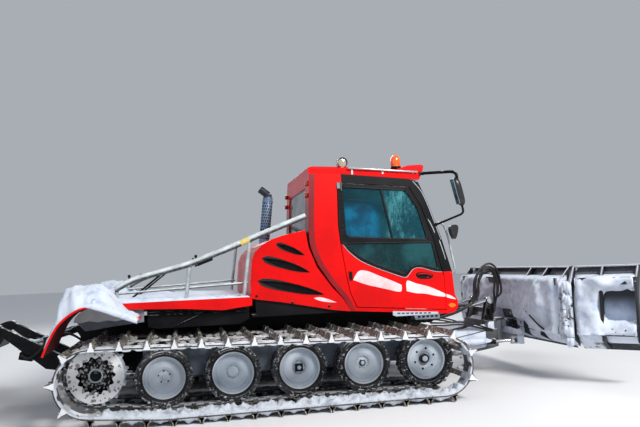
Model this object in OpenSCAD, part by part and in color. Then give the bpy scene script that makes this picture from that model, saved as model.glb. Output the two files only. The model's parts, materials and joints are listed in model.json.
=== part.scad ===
// Tracked snow groomer with a front blade and a rear tiller.
// Millimetres, +X forward, +Y left, +Z up. The origin is on the ground under the middle of
// the machine. Inside the modules X is measured from the drive sprockets' axle, and
// in_frame() moves the finished shape to the origin.

/* [Running gear] */
// Width over both tracks
over_tracks = 4260; // [3900:10:4600]
// Width of one track
track_w = 1500; // [1300:10:1600]
// Distance between two road wheels, and from the last one to the idler
wheel_pitch = 779; // [740:1:820]
// Distance from the sprocket's axle to the first road wheel's
sprocket_gap = 740; // [715:1:800]
// Number of road wheels on each side
road_wheels = 4; // [3:1:5]
// Outer radius of a road wheel's tyre
tyre_r = 327; // [300:1:335]
// Width of a tyre
tyre_w = 250; // [200:5:280]
// Radius of a road wheel's rim
rim_r = 240; // [220:1:250]
// Radius at which the belts lie on the sprocket
sprocket_r = 343; // [335:1:355]
// Height of the sprocket's axle above the road wheels' axles
sprocket_rise = 78; // [60:1:100]
// Thickness of the track's belts
belt_t = 16; // [12:1:20]
// Height of a cross bar over the belt
bar_h = 68; // [55:1:80]
// Width of a cross bar at its foot
bar_w = 62; // [50:1:80]
// Distance between two cross bars along the belt
bar_pitch = 246; // [220:1:280]
// Width of a window between two of a track's belts
window_w = 400; // [300:10:420]

/* [Chassis] */
// Width of the hull between the tracks
hull_w = 900; // [860:10:960]
// Height of the hull's floor
hull_bottom = 380; // [350:5:420]
// Height of the hull's upper edge
hull_top = 1010; // [990:5:1030]
// Thickness of the hull's plates
hull_wall = 12; // [8:1:20]

/* [Deck and hood] */
// Width of the load deck
deck_w = 2500; // [2400:10:2560]
// Height of the load deck's upper face
deck_top = 1250; // [1240:5:1270]
// Thickness of the deck's floor
deck_t = 50; // [40:1:60]
// Width of the engine hood
hood_w = 2200; // [2140:10:2240]
// Thickness of the hood's panels
hood_wall = 30; // [20:1:40]
// Thickness of the rear mudguards
fender_t = 10; // [6:1:14]
// Radius of the deck's rail tubes
rail_r = 21; // [15:1:25]

/* [Cab] */
// Width of the cab at its sill
cab_w = 2100; // [2060:10:2140]
// Lean of the cab's sides towards the middle
cab_lean = 3; // [2:0.5:4]
// Thickness of the cab's walls and doors
cab_wall = 60; // [50:1:70]
// Thickness of the window glass
glass_t = 8; // [6:1:10]
// Gap round a door
door_gap = 8; // [6:1:10]

/* [Blade] */
// Width of the blade between its wings
blade_w = 3200; // [3100:10:3400]
// Height of the blade
blade_h = 1040; // [960:10:1080]
// Length of a wing along its foot
wing_w = 880; // [760:10:900]
// Angle at which the wings stand forward
wing_angle = 40; // [30:1:45]
// Thickness of the blade's sheet
blade_t = 14; // [10:1:20]

/* [Tiller] */
// Width of the tiller
tiller_w = 4200; // [4000:10:4240]
// Radius of the tine tips
tine_r = 170; // [150:1:180]
// Radius of the tiller's shaft
tiller_shaft_r = 75; // [60:1:90]

/* [Hidden] */
$fn = 48;

ROLE_RED = [0.78, 0.06, 0.05];
ROLE_BLACK = [0.07, 0.07, 0.08];
ROLE_GREY = [0.62, 0.64, 0.66];
ROLE_AMBER = [1, 0.4, 0.05];
ROLE_GLASS = [0.3, 0.5, 0.55, 0.4];

seat_gap = 0.3;
axle_z = tyre_r + belt_t + bar_h;
sprocket_z = axle_z + sprocket_rise;
track_y = (over_tracks - track_w) / 2;
idler_x = sprocket_gap + road_wheels * wheel_pitch;
wheel_xs = [for (i = [0:road_wheels - 1]) sprocket_gap + i * wheel_pitch];

// Joints and pins, as X and Z in a side view or X and Y in the plan
pin_gap = 0.08;
ear_gap = 2;
push_y = 380;
push_t = 80;
lift_y = 270;
lift_pin_r = 35;
ram_pin_r = 24;
ram_eye_w = 50;
lift_pin = [4060, 430];
lift_foot = [4060, 745];
lift_eye = [5270, 1005];
push_beam_x = [5210, 5310];
push_fork_z = [365, 725];
angle_x = 5490;
angle_z = 450;
angle_foot = [4690, 540];
angle_eye = [5460, 560];
carrier_x = [5530, 5590];
tilt_z = 600;
tilt_pin_r = 50;
blade_foot_z = 415;
blade_x = 5690;
blade_arc = 42;
rib_d = 55;
mitre = 30;
mitre_gap = 8;
knuckle_z = 620;
knuckle_h = 100;
rear_pin = [-380, 470];
rear_foot = [-345, 930];
rear_eye = [-960, 760];
tiller_pin = [-1290, 985];
tiller_axle = [-1960, 700];
tiller_bore_r = 30;
hinge_axis = [blade_x - 30, blade_w / 2 + 30];
blade_depth = blade_h / 2 * (1 - cos(blade_arc)) / sin(blade_arc) + blade_t;
finisher_reach = 655;
front_x = hinge_axis[0] + wing_w * sin(wing_angle) + (30 + blade_depth) * cos(wing_angle);
rear_x = tiller_axle[0] - finisher_reach;
middle_x = (front_x + rear_x) / 2;

// Moves a shape from the sprocket's axle to the machine's own origin
module in_frame() {
    translate([-middle_x, 0, 0]) children();
}

// Extrudes a side view, drawn as X and Z, across the machine from y0 to y1
module side_extrude(y0, y1) {
    translate([0, y1, 0]) rotate([90, 0, 0]) linear_extrude(height = y1 - y0) children();
}

// A round bar between two points
module rod_between(a, b, r) {
    d = b - a;
    h = norm(d);
    translate(a)
        rotate([0, acos(d[2] / h), atan2(d[1], d[0])])
            cylinder(r = r, h = h);
}

// A shape and its mirror image on the other side of the machine
module both_sides() {
    children();
    mirror([0, 1, 0]) children();
}

// A cylinder along Y
module y_cylinder(x, z, y0, y1, r) {
    translate([x, y1, z]) rotate([90, 0, 0]) cylinder(r = r, h = y1 - y0);
}

// Track

// The circles that the belts run round: X, Z and radius, in the order of travel
wraps = [
    [wheel_xs[0], axle_z, tyre_r],
    [idler_x, axle_z, tyre_r],
    [0, sprocket_z, sprocket_r]
];
function next(i) = (i + 1) % len(wraps);
function prev(i) = (i + len(wraps) - 1) % len(wraps);
function span(i) = norm([wraps[next(i)][0] - wraps[i][0], wraps[next(i)][1] - wraps[i][1]]);
function leave_angle(i) =
    atan2(wraps[next(i)][1] - wraps[i][1], wraps[next(i)][0] - wraps[i][0])
    + asin((wraps[i][2] - wraps[next(i)][2]) / span(i));
function sweep(i) = (leave_angle(i) - leave_angle(prev(i)) + 720) % 360;
function arc_len(i) = wraps[i][2] * sweep(i) * PI / 180;
function line_len(i) = sqrt(pow(span(i), 2) - pow(wraps[i][2] - wraps[next(i)][2], 2));
function outward(a) = [sin(a), -cos(a)];
function along(a) = [cos(a), sin(a)];
loop_len = arc_len(0) + line_len(0) + arc_len(1) + line_len(1) + arc_len(2) + line_len(2);

// The point of the loop at a length s from its start, with the angle of travel there
function loop_at(s, i = 0) =
    s < arc_len(i) ?
        let (a = leave_angle(prev(i)) + sweep(i) * s / arc_len(i))
        concat([wraps[i][0], wraps[i][1]] + wraps[i][2] * outward(a), [a])
    : s < arc_len(i) + line_len(i) || i == len(wraps) - 1 ?
        let (a = leave_angle(i))
        concat([wraps[i][0], wraps[i][1]] + wraps[i][2] * outward(a)
               + (s - arc_len(i)) * along(a), [a])
    : loop_at(s - arc_len(i) - line_len(i), i + 1);

// The belt's line at a height over the wheels: a polygon that touches each wrap's circle
function belt_line(over) = [
    for (i = [0:len(wraps) - 1])
        let (n = max(1, ceil(sweep(i) / 26)), step = sweep(i) / n)
        for (k = [0:n - 1])
            let (a = leave_angle(prev(i)) + (k + 0.5) * step)
            [wraps[i][0], wraps[i][1]]
            + (wraps[i][2] + over) / cos(step / 2) * outward(a)
];

bar_count = round(loop_len / bar_pitch);
// How far the middle of a row of windows lies from the middle of its track
belt_row_y = track_w / 6 + 45;

// A cross bar's outline, from its rear foot over its sharp tip to its front foot
bar_outline = [[-bar_w / 2, 0], [0, bar_h], [bar_w / 2, 0]];

// The point at a length s of the loop, moved by a step along it and a height over the wheels
function at_loop(s, step, over) =
    let (p = loop_at(s))
    [p[0], p[1]] + step * along(p[2]) + over * outward(p[2]);

// The outer line of the belts with the cross bars standing on it
outer_line = [
    for (k = [0:bar_count - 1])
        let (s = (k + 0.5) * loop_len / bar_count, half = loop_len / bar_count / 2)
        each concat(
            [for (q = bar_outline) at_loop(s, q[0], belt_t + q[1])],
            loop_at(s)[2] == loop_at((s + 2 * half) % loop_len)[2]
                ? [] : [at_loop((s + half) % loop_len, 0, belt_t)]
        )
];

module track_outline() {
    difference() {
        polygon(outer_line);
        polygon(belt_line(0));
    }
}

// The windows between the belts, one in each gap between two bars
module belt_windows() {
    length = loop_len / bar_count - bar_w - 60;
    for (k = [0:bar_count - 1])
        let (p = at_loop(k * loop_len / bar_count, 0, 0), a = loop_at(k * loop_len / bar_count)[2])
            translate(p) rotate(a) translate([-length / 2, -2 * belt_t]) square([length, 3 * belt_t]);
}

module track_left() {
    color(ROLE_BLACK) in_frame()
        difference() {
            side_extrude(track_y - track_w / 2, track_y + track_w / 2) track_outline();
            for (side = [-1, 1])
                side_extrude(
                    track_y + side * belt_row_y - window_w / 2,
                    track_y + side * belt_row_y + window_w / 2
                ) belt_windows();
        }
}

module track_right() {
    mirror([0, 1, 0]) track_left();
}

// Wheels

all_wheel_xs = concat(wheel_xs, [idler_x]);

tyre_sides = 16;
function many_sided(r) = [for (k = [0:tyre_sides - 1]) let (a = k * 360 / tyre_sides) r * [cos(a), sin(a)]];

// A tyre as a many-sided ring whose flats touch neither its rim nor the belts' circle
module tyre(r, bore_r) {
    translate([0, tyre_w / 2, 0]) rotate([90, 0, 0]) linear_extrude(height = tyre_w)
        difference() {
            polygon(many_sided(r));
            polygon(many_sided(bore_r / cos(180 / tyre_sides)));
        }
}

module tyres() {
    color(ROLE_BLACK) in_frame() both_sides()
        for (x = all_wheel_xs)
            translate([x, track_y, axle_z]) tyre(tyre_r - seat_gap, rim_r + seat_gap);
}

// A dished wheel disc with its hub, drawn about the Z axis with its outside up
module wheel_disc(r) {
    h = tyre_w * 0.4;
    rotate_extrude()
        polygon([
            [0, 12], [70, 12], [85, 30], [120, 42], [r - 50, 42], [r - 26, 58], [r - 18, h],
            [r, h], [r, -h], [r - 14, -h], [r - 26, 20], [r - 60, 26], [120, 26], [90, -30],
            [0, -30]
        ]);
}

module rims() {
    color(ROLE_GREY) in_frame() both_sides()
        for (x = all_wheel_xs)
            translate([x, track_y, axle_z]) rotate([-90, 0, 0]) wheel_disc(rim_r);
}

tooth_count = 13;

module sprocket_ring() {
    difference() {
        union() {
            circle(r = sprocket_r - 34);
            for (k = [0:tooth_count - 1])
                rotate(k * 360 / tooth_count)
                    polygon([
                        [-30, sprocket_r - 60], [-12, sprocket_r - 1],
                        [12, sprocket_r - 1], [30, sprocket_r - 60]
                    ]);
        }
        circle(r = sprocket_r - 90);
    }
}

module sprocket() {
    rotate([90, 0, 0]) {
        for (y = [-110, 80])
            translate([0, 0, y]) linear_extrude(height = 30) sprocket_ring();
        rotate_extrude()
            polygon([
                [0, -100], [150, -100], [190, -60], [sprocket_r - 92, -60],
                [sprocket_r - 92, -110], [sprocket_r - 75, -110], [sprocket_r - 75, 110],
                [sprocket_r - 92, 110], [sprocket_r - 92, -40], [150, -40], [120, 60], [0, 60]
            ]);
    }
}

module sprockets() {
    color(ROLE_GREY) in_frame() both_sides()
        translate([0, track_y, sprocket_z]) sprocket();
}

// Hull, engine and wheel beams

hull_rear = -300;
hull_front = 3960;

bearer_half = deck_w / 2 - 160;
tank_x = [560, 1760];
tank_y = 1130;

engine_x = [1940, 2600];
engine_y = 330;
engine_top = 1600;

module hull() {
    cells = [[-200, 560], [600, 1240], [1280, 1900], [1930, 2890], [2920, 3520], [3560, 3880]];
    color(ROLE_BLACK) in_frame() {
        difference() {
            side_extrude(-hull_w / 2, hull_w / 2)
                polygon([
                    [hull_rear, 620], [hull_rear, hull_top], [hull_front, hull_top],
                    [hull_front, 560], [hull_front - 220, hull_bottom],
                    [hull_rear + 240, hull_bottom]
                ]);
            for (c = cells)
                translate([c[0], -hull_w / 2 + hull_wall, c[0] < 0 ? 640 : hull_bottom + hull_wall])
                    cube([c[1] - c[0], hull_w - 2 * hull_wall, hull_top]);
        }
        both_sides() y_cylinder(0, sprocket_z, hull_w / 2 - hull_wall, track_y - 60, 120);
        deck_bearers();
        both_sides() side_tank();
        hood_pan();
        hull_front_ears();
        hull_rear_ears();
    }
}

// Cross bearers that carry the load deck
module deck_bearers() {
    foot = hull_top - 5;
    for (x = [-150, 550, 1250])
        translate([x, -bearer_half, foot])
            cube([100, 2 * bearer_half, deck_top - deck_t - seat_gap - foot]);
}

// The tank beside the hull, between the deck and the track, with a stay across its face
module side_tank() {
    side_extrude(hull_w / 2 - 1, tank_y)
        polygon([
            [tank_x[0], deck_top - deck_t - 12], [tank_x[0], 965], [tank_x[0] + 110, 940],
            [tank_x[1] - 110, 940], [tank_x[1], 1000], [tank_x[1], deck_top - deck_t - 12]
        ]);
    rod_between([tank_x[0] + 320, tank_y, 955], [tank_x[0] + 730, tank_y, 1120], 11);
}

// The pan under the engine hood, and the screens that stand on it behind the hood's vents
module hood_pan() {
    pan_y = hood_w / 2 - hood_wall - 10;
    inner = hull_w / 2 - hull_wall;
    both_sides() translate([hood_rear + 10, inner, hull_top - 5]) cube([1100, pan_y - inner, 30]);
    both_sides() side_extrude(pan_y - 12, pan_y)
        polygon([
            [hood_rear + 60, hull_top], [hood_rear + 60, 1640], [1960, 1800], [2200, 1930], [2460, 1960],
            [2490, 1880], [2600, 1560], [2790, 1290], [2880, 1150], [2890, hull_top]
        ]);
}

module engine() {
    color(ROLE_GREY) in_frame()
        translate([engine_x[0], -engine_y, hull_bottom + hull_wall + seat_gap])
            cube([engine_x[1] - engine_x[0], 2 * engine_y, engine_top - hull_bottom - hull_wall]);
}

beam_y = [900, 1080];
beam_z = [470, 690];

module wheel_beams() {
    color(ROLE_GREY) in_frame() both_sides() {
        translate([sprocket_gap - 250, beam_y[0], beam_z[0]])
            cube([idler_x - sprocket_gap + 100, beam_y[1] - beam_y[0], beam_z[1] - beam_z[0]]);
        for (x = all_wheel_xs) {
            y_cylinder(x, axle_z, beam_y[0] - 20, track_y - 30, 55);
            translate([x - 70, beam_y[0], axle_z - 80])
                cube([140, beam_y[1] - beam_y[0], beam_z[0] - axle_z + 100]);
        }
        for (x = [wheel_xs[0], wheel_xs[1] + wheel_pitch / 2, wheel_xs[3]])
            translate([x - 75, hull_w / 2, beam_z[0] + 20])
                cube([150, beam_y[0] - hull_w / 2 + 20, 150]);
    }
}

// Deck

deck_rear = -330;
hood_rear = 1790;
deck_bolt_x = 700;
deck_bolt_dx = 1000;
deck_bolt_dy = 1600;
deck_bolt_r = 9;
deck_front = hood_rear - seat_gap;

module load_deck() {
    color(ROLE_RED) in_frame() {
        difference() {
            translate([deck_rear, -deck_w / 2, deck_top - deck_t])
                cube([deck_front - deck_rear, deck_w, deck_t]);
            for (x = [-1, 1], y = [-1, 1])
                translate([deck_bolt_x + x * deck_bolt_dx / 2, y * deck_bolt_dy / 2, deck_top - deck_t - 1])
                    cylinder(r = deck_bolt_r, h = deck_t + 2);
        }
        both_sides() side_extrude(deck_w / 2 - 40, deck_w / 2)
            polygon([
                [deck_rear, deck_top - deck_t - 10], [deck_rear, deck_top + 12],
                [deck_front, deck_top + 12], [deck_front, deck_top - 92],
                [1430, deck_top - 130], [990, deck_top - 90], [300, deck_top - deck_t - 10]
            ]);
    }
}

module fenders() {
    outer = [[-455, 800], [-385, 960], [-290, 1120], [-140, 1240], [20, 1285], [230, 1215], [500, 1105]];
    color(ROLE_RED) in_frame() both_sides()
        side_extrude(deck_w / 2 + seat_gap, over_tracks / 2)
            polygon(concat(
                outer,
                [for (i = [len(outer) - 1:-1:0]) outer[i] + [i < 4 ? fender_t : 0, i < 4 ? -2 : -fender_t]]
            ));
}

rail_y = 1150;

// A bent bar through points of a side view, as thick across as it is high
module bent_bar(points, y, r) {
    last = len(points) - 1;
    edge = [
        for (side = [1, -1])
            [for (i = [0:last])
                let (
                    a = unit(points[max(i, 1)] - points[max(i, 1) - 1]),
                    b = unit(points[min(i, last - 1) + 1] - points[min(i, last - 1)]),
                    m = unit(a + b)
                )
                points[i] + side * [-m[1], m[0]] * r / (m * a)]
    ];
    side_extrude(y - r, y + r)
        polygon(concat(edge[0], [for (i = [last:-1:0]) edge[1][i]]));
}

module deck_rails() {
    foot = deck_top + 6;
    diagonal = [[190, 1420], [400, 1530], [1040, 1680], [1550, 1860], [1850, 1980], [2500, 2225]];
    low = [[180, 1370], [1080, 1404], [1760, 1430]];
    low_y = rail_y - 45;
    // Each post's foot and head as X and Z, then the X and Z at which it carries the low rail
    posts = [
        [[1010, foot], [1070, 1688], [1030, 1402]],
        [[1700, foot], [1800, 1960], [1722, 1428]],
        [[215, foot], [215, 1433], [215, 1371]]
    ];
    color(ROLE_GREY) in_frame() both_sides() {
        bent_bar(diagonal, rail_y, rail_r);
        bent_bar(low, low_y, rail_r - 6);
        for (p = posts) {
            rod_between([p[0][0], rail_y, p[0][1]], [p[1][0], rail_y, p[1][1]], rail_r - 3);
            translate([p[0][0] - 45, rail_y - 45, deck_top + seat_gap]) cube([90, 90, 10]);
            y_cylinder(p[2][0], p[2][1], low_y, rail_y, rail_r - 11);
        }
    }
}

// Hood

hood_side = [
    [1790, 1230], [1790, 1430], [1820, 1700], [1860, 1800], [1940, 1880], [2070, 1950],
    [2200, 1990], [2480, 2050]
];
hood_front = [[2530, 1840], [2630, 1580], [2820, 1310], [2940, 1180], [3040, 1010]];
hood_foot = [[2810, 1040], [2420, 1120], [2160, 1170]];

module hood_outline() {
    polygon(concat(hood_side, [[2500, 2050]], hood_front, hood_foot));
}

// A lens between two points, as wide as w in its middle: what two discs have in common
module vent(a, b, w) {
    half = norm(b - a) / 2;
    r = (half * half + w * w / 4) / w;
    translate((a + b) / 2) rotate(atan2(b[1] - a[1], b[0] - a[0]))
        intersection() {
            translate([0, r - w / 2]) circle(r = r, $fn = 96);
            translate([0, w / 2 - r]) circle(r = r, $fn = 96);
        }
}

module hood_sides() {
    color(ROLE_RED) in_frame() both_sides()
        difference() {
            side_extrude(hood_w / 2 - hood_wall, hood_w / 2) hood_outline();
            side_extrude(hood_w / 2 - hood_wall - 1, hood_w / 2 + 1) {
                vent([2130, 1890], [2470, 1740], 70);
                vent([1950, 1720], [2530, 1525], 92);
                vent([1890, 1440], [2700, 1240], 104);
            }
        }
}

module hood_top() {
    n = len(hood_side) - 1;
    inner = hood_w / 2 - hood_wall - seat_gap;
    color(ROLE_RED) in_frame()
        side_extrude(-inner, inner)
            polygon(concat(
                hood_side,
                [for (i = [n:-1:0]) hood_side[i] + (i > 4 ? [2, -hood_wall] : [hood_wall, i > 2 ? -10 : 0])]
            ));
}

stack_foot = [2130, 300, 1900];
stack_lean = 7;

// The heat shield round the exhaust, its pipe and the elbow on top, cut open at the end
module exhaust_stack() {
    color(ROLE_GREY) in_frame()
        difference() {
            translate(stack_foot) rotate([0, stack_lean, 0]) {
                cylinder(r = 72, h = 660);
                cylinder(r = 52, h = 760);
                translate([0, 0, 745]) rotate([0, -58, 0]) cylinder(r = 53, h = 150);
                translate([0, 0, 690]) sphere(r = 70);
            }
            translate(stack_foot) rotate([0, stack_lean, 0])
                translate([0, 0, 745]) rotate([0, -58, 0]) translate([0, 0, 60]) cylinder(r = 46, h = 150);
            side_extrude(0, 600) translate([0, seat_gap]) hood_outline();
        }
}

// Cab

roof_w = 1860;
sill_z = 930;
cab_side = [
    [3050, 1010], [2970, 1170], [2800, 1390], [2660, 1610], [2580, 1820], [2560, 2040],
    [2600, 2790], [3000, 2770], [3900, 2690], [4060, 2640], [4170, 2370], [4320, 1910],
    [4440, 1440], [4455, 1150], [4490, 1060], [4480, 970], [4420, 920], [4330, 910]
];

function lean_y(z) = cab_w / 2 - (z - sill_z) * tan(cab_lean);

// The cab's outer form, or the form inside its walls, by how far it is set in
module cab_form(inset) {
    intersection() {
        side_extrude(-cab_w / 2 - 100, cab_w / 2 + 100) cab_section(inset);
        rotate([90, 0, 90]) translate([0, 0, 2000]) linear_extrude(height = 3000)
            polygon([
                [-lean_y(800) + inset, 800], [lean_y(800) - inset, 800],
                [lean_y(2900) - inset, 2900], [-lean_y(2900) + inset, 2900]
            ]);
    }
}

// The cab's side view set in from its outline; each corner keeps its place between its neighbours
function unit(v) = v / norm(v);
function edge_normal(p, q) = let (d = unit(q - p)) [-d[1], d[0]];
function inset_point(pts, i, by) =
    let (
        n = len(pts),
        a = edge_normal(pts[(i + n - 1) % n], pts[i]),
        b = edge_normal(pts[i], pts[(i + 1) % n]),
        m = unit(a + b)
    )
    pts[i] - m * by / (m * a);
module cab_section(inset) {
    polygon([for (i = [0:len(cab_side) - 1]) inset_point(cab_side, i, inset)]);
}

door_top = 2660;
door_sill = 45;
door_outline = [
    [3130, 1004 + door_sill], [3050, 1250], [3010, 1500], [2965, 1850], [2945, 2100], [2960, door_top],
    [3930, door_top - 75], [4075, 2330], [4215, 1900], [4300, 1500], [4330, 1400], [4330, 910 + door_sill]
];
window_curve = [
    [3000, 1850], [3070, 1760], [3210, 1640], [3390, 1550], [3590, 1470], [3790, 1400],
    [3850, 1440], [3910, 1500], [4010, 1515], [4200, 1460], [4300, 1450]
];

// The side window under the bar, out to the middle of the frame round it
frame_w = 42;
lower_opening = concat(window_curve, [[4232, 1890], [2990, 1920]]);

module door_prism(gap) {
    side_extrude(600, 1200)
        polygon([for (i = [0:len(door_outline) - 1]) inset_point(door_outline, i, gap)]);
}

floor_rear = 3110;

module cab_shell_walls() {
    difference() {
        cab_form(0);
        cab_form(cab_wall);
        floor_space(0);
    }
}

// The space between the walls that the floor fills
module floor_space(gap) {
    half = cab_w / 2 - cab_wall - gap;
    translate([floor_rear + gap, -half, sill_z - 130])
        cube([nose_x - floor_rear - 2 * gap, 2 * half, hull_top + floor_t + 3 - sill_z + 130]);
}

floor_t = 42;
nose_x = 4325;
nose_top = 1440;

// The nose's part of the cab: what lies in front of nose_x and under nose_top, less a gap
module nose_space(gap) {
    side_extrude(-cab_w, cab_w)
        polygon([[nose_x + gap, 800], [nose_x + gap, nose_top - gap], [4700, nose_top - gap], [4700, 800]]);
}

windshield_sill = nose_top + 40;
pillar_w = 110;

module windshield_cut() {
    half = lean_y(2500) - pillar_w;
    translate([4000, -half, windshield_sill]) cube([600, 2 * half, 1100]);
}

module rear_window_cut() {
    translate([2400, -700, 1900]) cube([400, 1400, 720]);
}

module cab_body() {
    color(ROLE_RED) in_frame()
        difference() {
            cab_shell_walls();
            both_sides() door_prism(0);
            nose_space(0);
            windshield_cut();
            rear_window_cut();
            translate([hull_rear, -hull_w / 2 - 5, 0])
                cube([hull_front - hull_rear + 5, hull_w + 10, hull_top + seat_gap]);
        }
}

module cab_nose() {
    color(ROLE_RED) in_frame()
        difference() {
            intersection() {
                cab_shell_walls();
                nose_space(seat_gap);
            }
            translate([nose_x - 10, -340, 0]) cube([400, 680, 1050]);
        }
}

// The floor plate with the rollover hoop that stands on it
module cab_floor() {
    hoop_y = 896;
    hoop = [[3590, hull_top + 20], [3670, hull_top + 20], [3510, 2650], [3430, 2650]];
    color(ROLE_BLACK) in_frame() {
        intersection() {
            floor_space(3);
            translate([floor_rear, -cab_w, hull_top]) cube([2000, 2 * cab_w, floor_t]);
        }
        both_sides() side_extrude(hoop_y - 34, hoop_y) polygon(hoop);
        side_extrude(-hoop_y, hoop_y) polygon([[3434, 2605], [3514, 2605], [3510, 2650], [3430, 2650]]);
    }
}

// The roof's form, lifted by a gap
module above_roof(gap) {
    half = roof_w / 2;
    translate([0, 0, gap]) intersection() {
        side_extrude(-half, half)
            polygon([
                [2600, 2790 + seat_gap], [2600, 2870], [2660, 2890], [3000, 2875], [3780, 2820],
                [3960, 2880], [4150, 2890], [4175, 2870], [4090, 2680], [3900, 2690 + seat_gap],
                [3000, 2770 + seat_gap]
            ]);
        rotate([90, 0, 90]) translate([0, 0, 2500]) linear_extrude(height = 1800)
            polygon([
                [-half, 2600], [-half, 2795], [-half + 25, 2850], [-half + 90, 2895],
                [half - 90, 2895], [half - 25, 2850], [half, 2795], [half, 2600]
            ]);
    }
}

module cab_roof() {
    color(ROLE_RED) in_frame() above_roof(0);
}

module glass_sheet(depth) {
    difference() {
        cab_form(depth);
        cab_form(depth + glass_t);
    }
}

module cab_windows() {
    color(ROLE_GLASS) in_frame()
        intersection() {
            glass_sheet(20);
            union() {
                windshield_cut();
                rear_window_cut();
            }
        }
}

module upper_window() {
    side_extrude(600, 1200)
        polygon([[3050, 1945], [3030, 2600], [3880, 2540], [4030, 2300], [4140, 1880]]);
}

module lower_window() {
    side_extrude(600, 1200)
        polygon([for (i = [0:len(lower_opening) - 1]) inset_point(lower_opening, i, -frame_w)]);
}

module door_skin() {
    intersection() {
        cab_shell_walls();
        door_prism(door_gap);
    }
}

module door_split(up) {
    side_extrude(500, 1300)
        polygon(concat(
            [for (p = window_curve) p + [0, up]],
            [[4600, 1400 + up], [4600, 3000], [2700, 3000], [2700, 2000 + up]]
        ));
}

module door_frame_left() {
    color(ROLE_BLACK) in_frame()
        difference() {
            intersection() {
                door_skin();
                door_split(0);
            }
            upper_window();
            lower_window();
        }
}

module door_panel_left() {
    color(ROLE_RED) in_frame()
        difference() {
            door_skin();
            door_split(-seat_gap);
        }
}

module door_glass_left() {
    color(ROLE_GLASS) in_frame()
        intersection() {
            glass_sheet(20);
            union() {
                upper_window();
                lower_window();
            }
        }
}

module door_frame_right() { mirror([0, 1, 0]) door_frame_left(); }
module door_panel_right() { mirror([0, 1, 0]) door_panel_left(); }
module door_glass_right() { mirror([0, 1, 0]) door_glass_left(); }

seat_y = 450;

module seats() {
    color(ROLE_BLACK) in_frame() both_sides() translate([3170, seat_y, hull_top + floor_t + seat_gap]) {
        translate([120, -150, 0]) cube([260, 300, 260]);
        translate([20, -250, 250]) cube([500, 500, 130]);
        translate([30, -240, 340]) rotate([0, -12, 0]) cube([110, 480, 560]);
        translate([-80, -140, 870]) rotate([0, -12, 0]) cube([90, 280, 165]);
    }
}

module dashboard() {
    color(ROLE_BLACK) in_frame()
        side_extrude(-700, 700)
            polygon([
                [nose_x - 175, hull_top + floor_t + seat_gap], [nose_x - 225, 1350], [nose_x - 265, 1450],
                [nose_x - 70, 1420], [nose_x - 70, hull_top + floor_t + seat_gap]
            ]);
}

// Mirrors on an upper arm from the roof and a lower one from the windscreen's pillar
module mirrors() {
    elbow = [4545, 1262, 2190];
    pillar = [4262, lean_y(2070), 2070];
    color(ROLE_BLACK) in_frame() both_sides() {
        translate([4085, roof_w / 2 + seat_gap, 2730]) cube([70, 16, 55]);
        rod_between([4130, roof_w / 2 + 15, 2757], [4475, 1265, 2735], 16);
        rod_between([4462, 1250, 2755], [4480, 1260, 2600], 16);
        side_extrude(1190, 1330)
            polygon([
                [4405, 2640], [4425, 2670], [4500, 2660], [4525, 2630], [4570, 2310], [4550, 2270],
                [4490, 2265], [4470, 2290]
            ]);
        rod_between([4528, 1260, 2290], elbow, 13);
        rod_between(elbow + [8, 3, -9], pillar + [0, 14, 0], 11);
        translate(pillar + [0, seat_gap, 0]) rotate([-90 + cab_lean, 0, 0]) cylinder(r = 24, h = 14);
    }
}

// What lies within a height over the cab's outer face and clear of it
module on_cab(height) {
    difference() {
        cab_form(-height);
        cab_form(-seat_gap);
    }
}

// Work lamps on the roof, the rails along its edges and the headlamps on the nose
module roof_lamps() {
    rail_y = roof_w / 2 + 22;
    rail_ends = [[3120, 2846], [4060, 2777]];
    color(ROLE_GREY) in_frame() both_sides() {
        difference() {
            union() {
                translate([3070, 800, 2930]) rotate([0, 90, 0]) cylinder(r = 55, h = 90, center = true);
                translate([3050, 785, 2850]) cube([40, 30, 40]);
            }
            above_roof(seat_gap);
        }
        rod_between([rail_ends[0][0], rail_y, rail_ends[0][1]], [rail_ends[1][0], rail_y, rail_ends[1][1]], 13);
        for (part = [0.06, 0.5, 0.94])
            let (p = rail_ends[0] + part * (rail_ends[1] - rail_ends[0])) {
                y_cylinder(p[0], p[1], roof_w / 2 + seat_gap, rail_y, 9);
                translate([p[0] - 12, roof_w / 2 + seat_gap, 2760]) cube([24, 8, p[1] - 2755]);
            }
        intersection() {
            on_cab(32);
            translate([4300, 740, 1262]) rotate([0, 90, 0]) cylinder(r = 78, h = 400);
        }
    }
}

// Amber side lamps on the nose and rear lamps on the cab's rear pillars
module marker_lamps() {
    color(ROLE_AMBER) in_frame() both_sides() {
        intersection() {
            on_cab(14);
            side_extrude(cab_w / 4, cab_w)
                translate([4400, 1012]) intersection() {
                    translate([0, 34]) circle(r = 62);
                    translate([0, -34]) circle(r = 62);
                }
        }
        for (z = [2510, 2660])
            intersection() {
                on_cab(40);
                translate([2400, 890, z]) rotate([0, 90, 0]) cylinder(r = 34, h = 300);
            }
    }
}

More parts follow.
